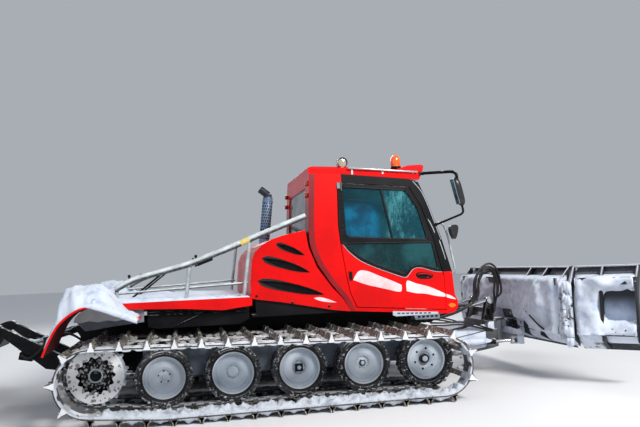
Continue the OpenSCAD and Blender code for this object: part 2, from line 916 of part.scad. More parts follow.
// Step boxes under the cab's doors and the panels behind the rear mudguards
module side_panels() {
    step_x = [3870, 4230];
    step_y = [890, cab_w / 2 - 10];
    step_z = 850;
    wall = 10;
    sill = [for (x = step_x) 1010 - (x - 3050) * 100 / 1280 - seat_gap];
    color(ROLE_GREY) in_frame() both_sides() {
        difference() {
            side_extrude(step_y[0], step_y[1])
                polygon([[step_x[0], sill[0]], [step_x[1], sill[1]], [step_x[1], step_z], [step_x[0] + 30, step_z]]);
            translate([step_x[0] - 1, step_y[0] + wall, step_z + wall])
                cube([step_x[1] - step_x[0] + 2, step_y[1] - step_y[0] - 2 * wall, 200]);
            for (k = [0:4])
                translate([step_x[0] + 62 + 58 * k, step_y[0] - 1, step_z + 22]) cube([34, 300, 26]);
        }
        side_extrude(deck_w / 2 - 70, deck_w / 2 - 62)
            polygon([
                [-250, 1080], [-150, deck_top - deck_t - seat_gap], [520, deck_top - deck_t - seat_gap],
                [520, 1030], [180, 1000], [-140, 960]
            ]);
    }
}

module beacon() {
    color(ROLE_AMBER) in_frame()
        difference() {
            translate([3820, -780, 2800]) {
                cylinder(r = 40, h = 65);
                translate([0, 0, 55]) cylinder(r = 66, h = 180);
            }
            above_roof(seat_gap);
        }
}

// Rams

// Each ram lies in its own plane: its foot's eye is at the origin and its rod's eye at +X
module ram_barrel(len, r, rod_r, eye_r, eye_w, pin_r) {
    difference() {
        union() {
            rotate([90, 0, 0]) translate([0, 0, -eye_w / 2]) cylinder(r = eye_r, h = eye_w);
            rotate([0, 90, 0]) cylinder(r = r, h = len);
            translate([len - 50, 0, 0]) rotate([0, 90, 0]) cylinder(r = r + 6, h = 50);
        }
        rotate([90, 0, 0]) translate([0, 0, -r - 20]) cylinder(r = pin_r + pin_gap, h = 2 * r + 40);
        for (s = [-1, 1])
            translate([-eye_r - 1, s > 0 ? eye_w / 2 : -r - 21, -r - 1])
                cube([2 * eye_r + 2, r + 21 - eye_w / 2, 2 * r + 2]);
        translate([eye_r + 8, 0, 0]) rotate([0, 90, 0]) cylinder(r = rod_r + 0.5, h = len);
    }
}

module ram_rod(from, len, rod_r, eye_r, eye_w) {
    translate([from, 0, 0]) rotate([0, 90, 0]) cylinder(r = rod_r, h = len - from);
    translate([len, eye_w / 2, 0]) rotate([90, 0, 0]) cylinder(r = eye_r, h = eye_w);
}

// Places a ram, drawn along +X, between two points of a side view
module ram_in_side_view(foot, eye, y) {
    translate([foot[0], y, foot[1]])
        rotate([0, -atan2(eye[1] - foot[1], eye[0] - foot[0]), 0]) children();
}

// Two plates on either side of an eye, with their outline drawn as X and Z
module ear_pair(y, eye_w, t) {
    for (s = [-1, 1])
        side_extrude(
            y + (s > 0 ? eye_w / 2 + ear_gap : -eye_w / 2 - ear_gap - t),
            y + (s > 0 ? eye_w / 2 + ear_gap + t : -eye_w / 2 - ear_gap)
        ) children();
}

module disc_at(p, r) {
    translate(p) circle(r = r);
}

// Front linkage

module hull_front_ears() {
    both_sides() {
        ear_pair(push_y, push_t, 24) {
            disc_at(lift_pin, 68);
            polygon([[hull_front - 200, 420], [hull_front - 200, 640], [hull_front, 640],
                     lift_pin + [20, 65], lift_pin + [0, -68]]);
        }
        y_cylinder(lift_pin[0], lift_pin[1], push_y - push_t / 2 - 20, push_y + push_t / 2 + 20, lift_pin_r);
        ear_pair(lift_y, ram_eye_w, 22) {
            disc_at(lift_foot, 41);
            polygon([[hull_front - 5, 640], [hull_front - 5, 860], lift_foot + [0, 41], lift_foot + [10, -39]]);
        }
        y_cylinder(lift_foot[0], lift_foot[1], lift_y - 35, lift_y + 35, ram_pin_r);
    }
}

module push_frame() {
    color(ROLE_BLACK) in_frame() {
        both_sides() {
            difference() {
                side_extrude(push_y - push_t / 2, push_y + push_t / 2) {
                    disc_at(lift_pin, 75);
                    polygon([lift_pin + [0, 75], lift_pin + [-10, -74], [4150, 300], [4700, 265],
                             [push_beam_x[0], 340], [push_beam_x[1], 365], [push_beam_x[1], 600],
                             [push_beam_x[0] - 60, 600], [4700, 520]]);
                }
                y_cylinder(lift_pin[0], lift_pin[1], 0, 1000, lift_pin_r + pin_gap);
            }
            ear_pair(lift_y, ram_eye_w, 22) {
                disc_at(lift_eye, 55);
                polygon([[push_beam_x[0] - 60, push_fork_z[1] - 1], [push_beam_x[1], push_fork_z[1] - 1],
                         lift_eye + [50, 20], lift_eye + [-50, 20]]);
            }
            angle_ears(angle_foot, [angle_foot[0] - 90, push_y], [angle_foot[0] + 36, push_y]);
            translate([angle_foot[0], angle_foot[1], angle_z - 45]) cylinder(r = ram_pin_r, h = 90);
        }
        translate([push_beam_x[0] - 60, -push_y, push_fork_z[0]])
            cube([push_beam_x[1] - push_beam_x[0] + 60, 2 * push_y, push_fork_z[1] - push_fork_z[0]]);
        translate([4520, -push_y, 300]) cube([140, 2 * push_y, 140]);
        for (z = [push_fork_z[0], push_fork_z[1] - 28])
            translate([0, 0, z]) linear_extrude(height = 28) {
                polygon([[push_beam_x[1] - 10, -230], [angle_x, -95], [angle_x, 95], [push_beam_x[1] - 10, 230]]);
                translate([angle_x, 0]) circle(r = 95);
            }
        translate([angle_x, 0, push_fork_z[0] + 10])
            cylinder(r = 40, h = push_fork_z[1] - push_fork_z[0] - 20);
        translate([lift_eye[0] - 30, -lift_y, 820]) cube([60, 2 * lift_y, 70]);
    }
}

// Two flat plates over and under an eye whose pin is upright, seated on an edge from a to b
module angle_ears(p, a, b) {
    for (z = [angle_z + ram_eye_w / 2 + ear_gap, angle_z - ram_eye_w / 2 - ear_gap - 20])
        translate([0, 0, z]) linear_extrude(height = 20) {
            translate(p) circle(r = 36);
            polygon([a, b, p + unit(b - a) * 35, p - unit(b - a) * 35]);
        }
}

module blade_carrier() {
    color(ROLE_BLACK) in_frame() {
        difference() {
            union() {
                translate([angle_x, 0, push_fork_z[0] + 34])
                    cylinder(r = 85, h = push_fork_z[1] - push_fork_z[0] - 68);
                translate([angle_x, -80, push_fork_z[0] + 34])
                    cube([60, 160, push_fork_z[1] - push_fork_z[0] - 68]);
            }
            translate([angle_x, 0, 0]) cylinder(r = 40 + pin_gap, h = 1000);
        }
        translate([carrier_x[0], -640, angle_z - 50]) cube([carrier_x[1] - carrier_x[0], 1280, 130]);
        translate([carrier_x[0], -110, angle_z - 50]) cube([carrier_x[1] - carrier_x[0], 220, 290]);
        translate([carrier_x[1] - 5, 0, tilt_z]) rotate([0, 90, 0]) cylinder(r = tilt_pin_r, h = 90);
        both_sides()
            angle_ears(angle_eye, [carrier_x[0] + 2, angle_eye[1] - 75], [carrier_x[0] + 2, angle_eye[1] + 75]);
    }
}

// Blade

// The curve of the blade's back, from its foot up, as X and Z
function blade_curve(set, n = 9) = [
    for (k = [0:n]) let (a = -blade_arc + 2 * blade_arc * k / n, r = blade_h / 2 / sin(blade_arc))
    [blade_x + r + set - (r + set) * cos(a), blade_foot_z + blade_h / 2 + r * sin(a)]
];

module blade_section() {
    back = blade_curve(0);
    front = blade_curve(0) + [for (p = back) [blade_t, 0]];
    polygon(concat(front, [for (i = [len(back) - 1:-1:0]) back[i]]));
}

// A rib behind the blade's sheet, between two heights
module blade_rib() {
    back = blade_curve(0);
    polygon(concat(
        [[blade_x - rib_d, blade_foot_z + 130], [blade_x - rib_d, blade_foot_z + blade_h - 210],
         back[len(back) - 1] + [-90, -6]],
        [for (i = [len(back) - 1:-1:0]) back[i] + [2, 0]]
    ));
}

// The lip that turns back along the blade's upper edge
module blade_lip() {
    top = blade_curve(0)[len(blade_curve(0)) - 1];
    polygon([top + [-100, -6], top + [-100, -24], top + [blade_t - 2, -24], top + [blade_t - 2, 0], top]);
}

// What lies beyond the mitre plane at a wing's hinge, as seen by the blade
module beyond_mitre(turn) {
    translate([hinge_axis[0], hinge_axis[1], 0]) rotate([0, 0, turn])
        translate([-1500, -mitre_gap, 0]) cube([3000, 3000, 3000]);
}

// The two straps that run across the ribs, from y0 to y1
module blade_straps(y0, y1) {
    for (z = [blade_foot_z + 190, blade_foot_z + blade_h - 235])
        translate([blade_x - rib_d, y0, z]) cube([rib_d + 60, y1 - y0, 90]);
}

module blade() {
    color(ROLE_BLACK) in_frame() {
        difference() {
            union() {
                side_extrude(-blade_w / 2 - 22, blade_w / 2 + 22) blade_section();
                side_extrude(-blade_w / 2 + 35, blade_w / 2 - 35) blade_lip();
                both_sides() for (part = [0.37, 0.65, 0.97])
                    side_extrude(part * blade_w / 2 - 15, part * blade_w / 2 + 15) blade_rib();
                blade_straps(-blade_w / 2 + 60, blade_w / 2 - 60);
            }
            beyond_mitre(-mitre);
            mirror([0, 1, 0]) beyond_mitre(-mitre);
            translate([blade_x - rib_d - 1, -560, blade_foot_z + 60]) cube([rib_d - 6, 1120, 330]);
        }
        difference() {
            union() {
                translate([carrier_x[1] + 10, 0, tilt_z]) rotate([0, 90, 0]) cylinder(r = 105, h = 78);
                translate([carrier_x[1] + 60, -140, tilt_z - 105]) cube([blade_x - carrier_x[1] - 5, 280, 210]);
            }
            translate([carrier_x[1], 0, tilt_z]) rotate([0, 90, 0]) cylinder(r = tilt_pin_r + pin_gap, h = 92);
        }
        both_sides() hinge_knuckles(0);
        both_sides() translate([hinge_axis[0], hinge_axis[1], knuckle_z])
            cylinder(r = 16, h = 6 * knuckle_h);
    }
}

// Every second knuckle of a wing's hinge, with a strap to the panel behind it
module hinge_knuckles(first) {
    for (k = [first:2:5])
        translate([hinge_axis[0], hinge_axis[1], knuckle_z + k * knuckle_h + 3])
            difference() {
                union() {
                    cylinder(r = 30, h = knuckle_h - 6);
                    translate([-12, first == 0 ? -80 : 0, 0]) cube([30, 80, knuckle_h - 6]);
                }
                if (first == 1) translate([0, 0, -1]) cylinder(r = 16 + pin_gap, h = knuckle_h);
            }
}

module wing_left() {
    color(ROLE_BLACK) in_frame()
        translate([hinge_axis[0], hinge_axis[1], 0]) rotate([0, 0, -wing_angle])
            translate([-hinge_axis[0], -hinge_axis[1], 0]) {
                difference() {
                    union() {
                        side_extrude(hinge_axis[1] + 4, hinge_axis[1] + wing_w) blade_section();
                        side_extrude(hinge_axis[1] + 90, hinge_axis[1] + wing_w) blade_lip();
                        for (y = [80, wing_w / 2, wing_w - 30])
                            side_extrude(hinge_axis[1] + y, hinge_axis[1] + y + 30) blade_rib();
                        blade_straps(hinge_axis[1] + 150, hinge_axis[1] + wing_w);
                    }
                    mirror_mitre();
                }
                hinge_knuckles(1);
            }
}

module mirror_mitre() {
    translate([hinge_axis[0], hinge_axis[1], 0]) rotate([0, 0, mitre])
        translate([-1500, mitre_gap - 3000, 0]) cube([3000, 3000, 3000]);
}

module wing_right() { mirror([0, 1, 0]) wing_left(); }

function dist(a, b) = norm(b - a);

module lift_barrels() {
    color(ROLE_BLACK) in_frame() both_sides()
        ram_in_side_view(lift_foot, lift_eye, lift_y)
            ram_barrel(760, 44, 24, 48, ram_eye_w, ram_pin_r);
}

module lift_rods() {
    color(ROLE_GREY) in_frame() both_sides()
        ram_in_side_view(lift_foot, lift_eye, lift_y)
            ram_rod(500, dist(lift_foot, lift_eye), 24, 48, ram_eye_w);
}

// Lays a ram, drawn along +X with its pins across, between two points of the plan
module ram_in_plan(foot, eye) {
    translate([foot[0], foot[1], angle_z])
        rotate([0, 0, atan2(eye[1] - foot[1], eye[0] - foot[0])]) rotate([90, 0, 0]) children();
}

module angle_barrel_left() {
    color(ROLE_BLACK) in_frame()
        ram_in_plan(angle_foot, angle_eye) ram_barrel(505, 36, 20, 42, ram_eye_w, ram_pin_r);
}

module angle_rod_left() {
    color(ROLE_GREY) in_frame()
        ram_in_plan(angle_foot, angle_eye)
            ram_rod(268, dist(angle_foot, angle_eye), 20, 42, ram_eye_w);
}

module angle_barrel_right() { mirror([0, 1, 0]) angle_barrel_left(); }
module angle_rod_right() { mirror([0, 1, 0]) angle_rod_left(); }

// Rear linkage and tiller

module hull_rear_ears() {
    both_sides() {
        ear_pair(push_y, push_t, 24) {
            disc_at(rear_pin, 62);
            polygon([[hull_rear + 60, 420], rear_pin + [0, -62], rear_pin + [-20, 58], [hull_rear + 5, 620],
                     [hull_rear + 60, 620]]);
        }
        y_cylinder(rear_pin[0], rear_pin[1], push_y - push_t / 2 - 20, push_y + push_t / 2 + 20, lift_pin_r);
        ear_pair(lift_y, ram_eye_w, 22) {
            disc_at(rear_foot, 37);
            polygon([[hull_rear + 5, 800], rear_foot + [-10, -36], rear_foot + [0, 37], [hull_rear + 5, 990]]);
        }
        y_cylinder(rear_foot[0], rear_foot[1], lift_y - 35, lift_y + 35, ram_pin_r);
    }
}

module rear_lift() {
    color(ROLE_BLACK) in_frame() {
        both_sides() {
            difference() {
                side_extrude(push_y - push_t / 2, push_y + push_t / 2) {
                    disc_at(rear_pin, 66);
                    disc_at(tiller_pin, 60);
                    polygon([rear_pin + [30, 58], rear_pin + [0, -66], [-720, 470], tiller_pin + [20, -56],
                             tiller_pin + [-10, 58], [-1120, 950]]);
                }
                y_cylinder(rear_pin[0], rear_pin[1], 0, 1000, lift_pin_r + pin_gap);
            }
            y_cylinder(tiller_pin[0], tiller_pin[1], push_y - push_t / 2 - 34, push_y + push_t / 2 + 34, 30);
            ear_pair(lift_y, ram_eye_w, 22) {
                disc_at(rear_eye, 52);
                polygon([rear_eye + [45, -20], rear_eye + [-45, -20], [-1030, 640], [-900, 620]]);
            }
        }
        translate([-1050, -push_y, 600]) rotate([0, 12, 0]) cube([160, 2 * push_y, 90]);
    }
}

module rear_barrels() {
    color(ROLE_BLACK) in_frame() both_sides()
        ram_in_side_view(rear_foot, rear_eye, lift_y)
            ram_barrel(430, 40, 22, 44, ram_eye_w, ram_pin_r);
}

module rear_rods() {
    color(ROLE_GREY) in_frame() both_sides()
        ram_in_side_view(rear_foot, rear_eye, lift_y)
            ram_rod(200, dist(rear_foot, rear_eye), 22, 44, ram_eye_w);
}

module tiller_housing() {
    end_t = 20;
    color(ROLE_BLACK) in_frame() {
        difference() {
            side_extrude(-tiller_w / 2, tiller_w / 2)
                difference() {
                    disc_at(tiller_axle, tine_r + 46);
                    translate(tiller_axle + [-400, -700]) square([800, 600]);
                }
            side_extrude(-tiller_w / 2 + end_t, tiller_w / 2 - end_t) disc_at(tiller_axle, tine_r + 32);
            translate([tiller_axle[0] - 400, -tiller_w / 2 + end_t, tiller_axle[1] - 500])
                cube([800, tiller_w - 2 * end_t, 400]);
            y_cylinder(tiller_axle[0], tiller_axle[1], -tiller_w, tiller_w, tiller_bore_r);
        }
        both_sides() {
            for (s = [-1, 1])
                difference() {
                    side_extrude(
                        push_y + (s > 0 ? push_t / 2 + 6 : -push_t / 2 - 26),
                        push_y + (s > 0 ? push_t / 2 + 26 : -push_t / 2 - 6)
                    ) {
                        disc_at(tiller_pin, 58);
                        polygon([tiller_pin + [30, 48], tiller_pin + [0, -58], [-1560, 600], [-1800, 560],
                                 [-1840, 860], tiller_pin + [-60, 50]]);
                    }
                    y_cylinder(tiller_pin[0], tiller_pin[1], 0, 1000, 30 + pin_gap);
                    side_extrude(0, 1000) disc_at(tiller_axle, tine_r + 40);
                }
        }
        translate([-1700, -1500, 640]) cube([120, 3000, 120]);
        for (y = [-1400, -700, 680, 1380])
            difference() {
                side_extrude(y, y + 20)
                    polygon([[-1700, 640], [-1860, 560], [-1900, 860], [-1700, 760]]);
                side_extrude(y - 1, y + 21) disc_at(tiller_axle, tine_r + 40);
            }
    }
}

module tine_disc(turn) {
    rotate(turn) for (k = [0:2])
        rotate(k * 120)
            polygon([[0, 0], [tiller_shaft_r, -50], [tine_r * 0.8, -16], [tine_r, 22], [tine_r * 0.8, 26],
                     [tiller_shaft_r * 0.9, 60]]);
}

module tiller_shaft() {
    span = tiller_w - 2 * 20 - 2 * 12;
    count = floor(span / 120);
    color(ROLE_GREY) in_frame() {
        y_cylinder(tiller_axle[0], tiller_axle[1], -span / 2, span / 2, tiller_shaft_r);
        y_cylinder(tiller_axle[0], tiller_axle[1], -tiller_w / 2 - 10, tiller_w / 2 + 10,
                   tiller_bore_r - pin_gap);
        for (k = [0:count - 1])
            side_extrude(-span / 2 + 40 + k * 120, -span / 2 + 56 + k * 120)
                translate(tiller_axle) tine_disc(k * 40);
    }
}

comb_pitch = 75;
comb_slot = 26;

// The flexible finisher, its trailing edge cut into a comb
module finisher() {
    half = tiller_w / 2 - 30;
    slots = floor(half / comb_pitch) - 1;
    color(ROLE_BLACK) in_frame()
        difference() {
            side_extrude(-half, half)
                polygon([
                    tiller_axle + [-216, 10], tiller_axle + [-216, -30], tiller_axle + [-420, -130],
                    tiller_axle + [-650, -215], tiller_axle + [-finisher_reach, -195],
                    tiller_axle + [-425, -95], tiller_axle + [-240, 10]
                ]);
            for (k = [-slots:slots])
                translate([rear_x - 1, k * comb_pitch - comb_slot / 2, tiller_axle[1] - 400])
                    cube([130, comb_slot, 400]);
        }
}

hull();
engine();
wheel_beams();
track_left();
track_right();
tyres();
rims();
sprockets();
load_deck();
fenders();
deck_rails();
hood_sides();
hood_top();
exhaust_stack();
cab_body();
cab_nose();
cab_floor();
cab_roof();
cab_windows();
door_frame_left();
door_panel_left();
door_glass_left();
door_frame_right();
door_panel_right();
door_glass_right();
seats();
dashboard();
mirrors();
roof_lamps();
beacon();
marker_lamps();
side_panels();
push_frame();
blade_carrier();
blade();
wing_left();
wing_right();
lift_barrels();
lift_rods();
angle_barrel_left();
angle_rod_left();
angle_barrel_right();
angle_rod_right();
rear_lift();
rear_barrels();
rear_rods();
tiller_housing();
tiller_shaft();
finisher();
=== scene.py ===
"""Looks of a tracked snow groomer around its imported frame: materials, details, floor, light and camera.

Lengths are metres, +X forward, +Y left, +Z up. A place on the machine is given by at(x, y, z), where x
is measured forward from the drive sprockets' axle.
"""

import json
import math
import random

import bmesh
import bpy
from mathutils import Matrix, Vector, noise


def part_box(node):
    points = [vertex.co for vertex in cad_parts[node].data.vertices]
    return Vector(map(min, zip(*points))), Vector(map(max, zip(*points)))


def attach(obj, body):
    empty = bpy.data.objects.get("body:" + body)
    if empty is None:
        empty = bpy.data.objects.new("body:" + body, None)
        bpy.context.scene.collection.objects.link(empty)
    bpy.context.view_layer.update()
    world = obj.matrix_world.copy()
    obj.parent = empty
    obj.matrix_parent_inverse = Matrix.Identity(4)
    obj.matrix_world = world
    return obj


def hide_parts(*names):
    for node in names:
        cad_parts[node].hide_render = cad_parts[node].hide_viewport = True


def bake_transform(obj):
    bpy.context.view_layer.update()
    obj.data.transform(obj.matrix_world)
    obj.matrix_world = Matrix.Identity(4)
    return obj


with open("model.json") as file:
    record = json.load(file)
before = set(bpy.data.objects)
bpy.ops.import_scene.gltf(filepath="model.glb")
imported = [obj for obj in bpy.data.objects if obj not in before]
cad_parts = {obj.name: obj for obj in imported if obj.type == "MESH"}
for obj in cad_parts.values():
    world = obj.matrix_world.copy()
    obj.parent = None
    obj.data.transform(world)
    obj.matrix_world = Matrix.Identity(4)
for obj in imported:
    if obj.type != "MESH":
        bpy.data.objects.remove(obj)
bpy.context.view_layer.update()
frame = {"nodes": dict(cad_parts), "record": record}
SLOT_OF = {part["node"]: part["material_slot"] for part in frame["record"]["subparts"]}
SPROCKET_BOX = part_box("sprockets")
AXLE_X = (SPROCKET_BOX[0].x + SPROCKET_BOX[1].x) / 2
RIGHT, LEFT = -1, 1
SIDES = ((LEFT, "left"), (RIGHT, "right"))


def at(x, y, z):
    """A point of the machine, with x measured from the sprockets' axle."""
    return Vector((x + AXLE_X, y, z))


# Camera

CAMERA_AT = at(0.989, -9.72, 1.62)
CAMERA_YAW = math.radians(11.2)
CAMERA_PITCH = math.radians(4.12)
CAMERA_ROLL = math.radians(2.5)
FOCAL_PX = 700
IMAGE_W = 640
SENSOR_MM = 36


def make_camera():
    """The photograph's view: almost square to the right side, from a standing person's height."""
    data = bpy.data.cameras.new("camera")
    data.sensor_width = SENSOR_MM
    data.lens = FOCAL_PX / IMAGE_W * SENSOR_MM
    data.clip_end = 200
    camera = bpy.data.objects.new("camera", data)
    bpy.context.scene.collection.objects.link(camera)
    forward = Vector((
        math.sin(CAMERA_YAW) * math.cos(CAMERA_PITCH),
        math.cos(CAMERA_YAW) * math.cos(CAMERA_PITCH),
        math.sin(CAMERA_PITCH),
    ))
    level = Vector((math.cos(CAMERA_YAW), -math.sin(CAMERA_YAW), 0))
    rise = level.cross(forward)
    right = level * math.cos(CAMERA_ROLL) - rise * math.sin(CAMERA_ROLL)
    up = rise * math.cos(CAMERA_ROLL) + level * math.sin(CAMERA_ROLL)
    turn = Matrix((right, up, -forward)).transposed()
    camera.matrix_world = Matrix.Translation(CAMERA_AT) @ turn.to_4x4()
    bpy.context.scene.camera = camera


# Node materials


class Shader:
    """A material with a Principled shader, and short ways to add the nodes that feed it."""

    def __init__(self, name, rough=0.5, metal=0.0):
        self.material = bpy.data.materials.new(name)
        self.material.use_nodes = True
        self.tree = self.material.node_tree
        self.nodes = self.tree.nodes
        self.shader = self.nodes["Principled BSDF"]
        self.shader.inputs["Roughness"].default_value = rough
        self.shader.inputs["Metallic"].default_value = metal
        self.place = self.nodes.new("ShaderNodeTexCoord").outputs["Object"]

    def link(self, source, target):
        self.tree.links.new(source, target)

    def noise(self, scale, detail=4, rough=0.6, stretch=None):
        """Noise over the machine's own coordinates, as a value from 0 to 1."""
        node = self.nodes.new("ShaderNodeTexNoise")
        node.inputs["Scale"].default_value = scale
        node.inputs["Detail"].default_value = detail
        node.inputs["Roughness"].default_value = rough
        self.link(self.stretched(stretch), node.inputs["Vector"])
        return node.outputs["Fac"]

    def stretched(self, stretch):
        if stretch is None:
            return self.place
        node = self.nodes.new("ShaderNodeMapping")
        node.inputs["Scale"].default_value = stretch
        self.link(self.place, node.inputs["Vector"])
        return node.outputs["Vector"]

    def ramp(self, value, low, high):
        """0 below low, 1 above high and smooth between them."""
        node = self.nodes.new("ShaderNodeMapRange")
        node.interpolation_type = "SMOOTHSTEP"
        node.inputs["From Min"].default_value = low
        node.inputs["From Max"].default_value = high
        self.link(value, node.inputs["Value"])
        return node.outputs["Result"]

    def math(self, kind, a, b):
        node = self.nodes.new("ShaderNodeMath")
        node.operation = kind
        node.use_clamp = True
        for socket, value in zip(node.inputs, (a, b)):
            if isinstance(value, (int, float)):
                socket.default_value = value
            else:
                self.link(value, socket)
        return node.outputs["Value"]

    def mix(self, factor, a, b):
        """A colour between a and b, each a colour or a node's output."""
        node = self.nodes.new("ShaderNodeMix")
        node.data_type = "RGBA"
        self.link(factor, node.inputs["Factor"])
        for socket, value in zip((node.inputs[6], node.inputs[7]), (a, b)):
            if isinstance(value, tuple):
                socket.default_value = (*value, 1)
            else:
                self.link(value, socket)
        return node.outputs[2]

    def patchy(self, scale, low, high, a, b, detail=5):
        """Patches of two colours."""
        return self.mix(self.ramp(self.noise(scale, detail), low, high), a, b)

    def axis(self, name):
        """A point's own X, Y or Z on the machine."""
        node = self.nodes.new("ShaderNodeSeparateXYZ")
        self.link(self.place, node.inputs[0])
        return node.outputs[name]

    def facing(self, name):
        """How far the surface faces along X, Y or Z, from -1 to 1."""
        geometry = self.nodes.new("ShaderNodeNewGeometry")
        node = self.nodes.new("ShaderNodeSeparateXYZ")
        self.link(geometry.outputs["Normal"], node.inputs[0])
        return node.outputs[name]

    def lying(self, low, high):
        """Where snow lies on what faces up: more of it as low and high fall."""
        up = self.ramp(self.facing("Z"), 0.5, 0.9)
        return self.math("MULTIPLY", up, self.ramp(self.noise(9, 6, 0.7), low, high))

    def gloss(self, shine, coat=None, coat_rough=None):
        """Sets how much of its surroundings the surface mirrors."""
        for socket, value in (
            ("Specular IOR Level", shine), ("Coat Weight", coat), ("Coat Roughness", coat_rough),
        ):
            if value is not None:
                self.shader.inputs[socket].default_value = value

    def bump(self, value, strength, distance):
        node = self.nodes.new("ShaderNodeBump")
        node.inputs["Strength"].default_value = strength
        node.inputs["Distance"].default_value = distance
        self.link(value, node.inputs["Height"])
        self.link(node.outputs["Normal"], self.shader.inputs["Normal"])

    def colour(self, source):
        self.link(source, self.shader.inputs["Base Color"])

    def roughness(self, source):
        self.link(source, self.shader.inputs["Roughness"])


SNOW = (0.80, 0.84, 0.90)


def weathered(name, colour, shade, rough, metal=0.0, snow=0.5, spray=0.5, grain=60, bump=0.15,
              coat=0.0, film=0.1, specks=0.60, shine=0.5, speck_scale=55):
    """A hard surface with uneven colour, snow lying on what faces up and snow spray near the ground."""
    s = Shader(name, rough, metal)
    s.gloss(shine, coat, 0.12)
    patches = s.noise(2.3, 5)
    fine = s.noise(grain, 6, 0.7)
    base = s.mix(s.ramp(patches, 0.35, 0.7), colour, shade)
    lying = s.lying(0.68 - 0.4 * snow, 0.80 - 0.4 * snow)
    low = s.ramp(s.axis("Z"), 1.15, 0.25)
    speckle = s.ramp(s.noise(speck_scale, 6, 0.8), specks, specks + 0.06)
    thrown = s.math("MULTIPLY", s.math("MULTIPLY", low, speckle), spray)
    film = s.math("MULTIPLY", s.math("MULTIPLY", low, s.ramp(patches, 0.3, 0.75)), film)
    white = s.math("MAXIMUM", s.math("MAXIMUM", lying, thrown), film)
    s.colour(s.mix(white, base, SNOW))
    uneven = s.math("MULTIPLY_ADD", fine, 0.25)
    uneven.node.inputs[2].default_value = rough - 0.12
    s.roughness(s.math("MAXIMUM", uneven, s.math("MULTIPLY", white, 0.85)))
    s.bump(s.math("MAXIMUM", fine, white), bump, 0.004)
    return s.material


def make_snow(name, lit, shade):
    """Snow with small grains and soft shaded patches."""
    s = Shader(name, 0.75)
    s.shader.inputs["Subsurface Weight"].default_value = 0.12
    s.shader.inputs["Subsurface Radius"].default_value = (0.03, 0.04, 0.05)
    s.colour(s.patchy(6, 0.50, 0.72, lit, shade))
    s.bump(s.math("MULTIPLY_ADD", s.noise(70, 6, 0.75), 0.7), 0.5, 0.006)
    return s.material


def make_bar_metal():
    """Bright cross bars, scraped along their edges, with brown grit and snow frozen on."""
    s = Shader("bar_metal", 0.5, 0.2)
    grit = s.ramp(s.noise(26, 6, 0.75), 0.44, 0.56)
    base = s.patchy(60, 0.35, 0.65, (0.34, 0.32, 0.29), (0.14, 0.13, 0.12), 4)
    dirt = s.patchy(12, 0.4, 0.65, (0.045, 0.038, 0.030), (0.16, 0.13, 0.085), 4)
    iced = s.ramp(s.noise(17, 6, 0.8), 0.55, 0.62)
    s.colour(s.mix(iced, s.mix(grit, base, dirt), SNOW))
    s.bump(s.math("MAXIMUM", grit, iced), 0.4, 0.003)
    return s.material


def make_glass():
    """Tinted window glass, bluer in the rear and greener towards the front; the blue is a painted sky,
    and the rear panes' pale grey is painted light from behind them.
    """
    s = Shader("window_glass", 0.04)
    s.shader.inputs["IOR"].default_value = 1.5
    s.shader.inputs["Alpha"].default_value = 0.72
    dark = s.patchy(2.1, 0.35, 0.65, (0.001, 0.018, 0.026), (0.002, 0.050, 0.070), 4)
    # Painted light: the brighter blue of the sky, painted into the glass
    painted_sky = s.patchy(3.1, 0.40, 0.60, (0.001, 0.060, 0.12), (0.002, 0.15, 0.28), 4)
    green = s.mix(
        s.ramp(s.noise(2.6, 7, 0.8, (1, 1, 0.4)), 0.42, 0.62),
        (0.001, 0.050, 0.070), (0.08, 0.36, 0.40),
    )
    low = s.patchy(2.4, 0.40, 0.65, (0.004, 0.030, 0.034), (0.012, 0.085, 0.095), 4)
    # Where the painted sky shows: low in the rear part of the upper panes
    bright = s.math(
        "MULTIPLY", s.ramp(s.axis("Z"), 2.46, 2.22), s.ramp(s.axis("X"), AXLE_X + 3.56, AXLE_X + 3.40),
    )
    rear = s.mix(bright, dark, painted_sky)
    upper = s.mix(s.ramp(s.axis("X"), AXLE_X + 3.5, AXLE_X + 3.72), rear, green)
    sides = s.mix(s.ramp(s.axis("Z"), 1.92, 1.86), upper, low)
    # Painted light: the pale grey of the rear panes, standing for the light that shows through them from
    # behind
    pale = s.patchy(2.4, 0.40, 0.60, (0.16, 0.22, 0.23), (0.36, 0.42, 0.42), 4)
    s.colour(s.mix(s.math("LESS_THAN", s.axis("X"), AXLE_X + 2.66), sides, pale))
    return s.material


def make_blade_paint():
    """The blade's black paint, with snow frozen on behind, round the hinges of the wings."""
    s = Shader("blade_paint", 0.5)
    s.gloss(0.25)
    patches = s.noise(2.3, 5)
    black = s.mix(s.ramp(patches, 0.35, 0.7), (0.012, 0.012, 0.015), (0.03, 0.032, 0.038))
    speckle = s.math(
        "MULTIPLY", s.ramp(s.noise(55, 6, 0.8), 0.60, 0.66), s.ramp(s.axis("Z"), 1.15, 0.25),
    )
    lying = s.lying(0.32, 0.44)
    near = s.math(
        "MAXIMUM",
        s.math("MULTIPLY", s.ramp(s.axis("Y"), 1.47, 1.53), s.ramp(s.axis("Y"), 1.83, 1.77)),
        s.math("MULTIPLY", s.ramp(s.axis("Y"), -1.47, -1.53), s.ramp(s.axis("Y"), -1.83, -1.77)),
    )
    behind = s.math("MULTIPLY", s.ramp(s.facing("X"), 0.35, 0.05), s.ramp(s.axis("Z"), 1.36, 1.31))
    frozen = s.math(
        "MULTIPLY", s.math("MULTIPLY", near, behind), s.ramp(s.noise(14, 6, 0.75), 0.40, 0.48),
    )
    white = s.math("MAXIMUM", s.math("MAXIMUM", lying, frozen), s.math("MULTIPLY", speckle, 0.9))
    s.colour(s.mix(white, black, (0.62, 0.67, 0.76)))
    s.bump(s.noise(60, 6, 0.7), 0.15, 0.004)
    return s.material


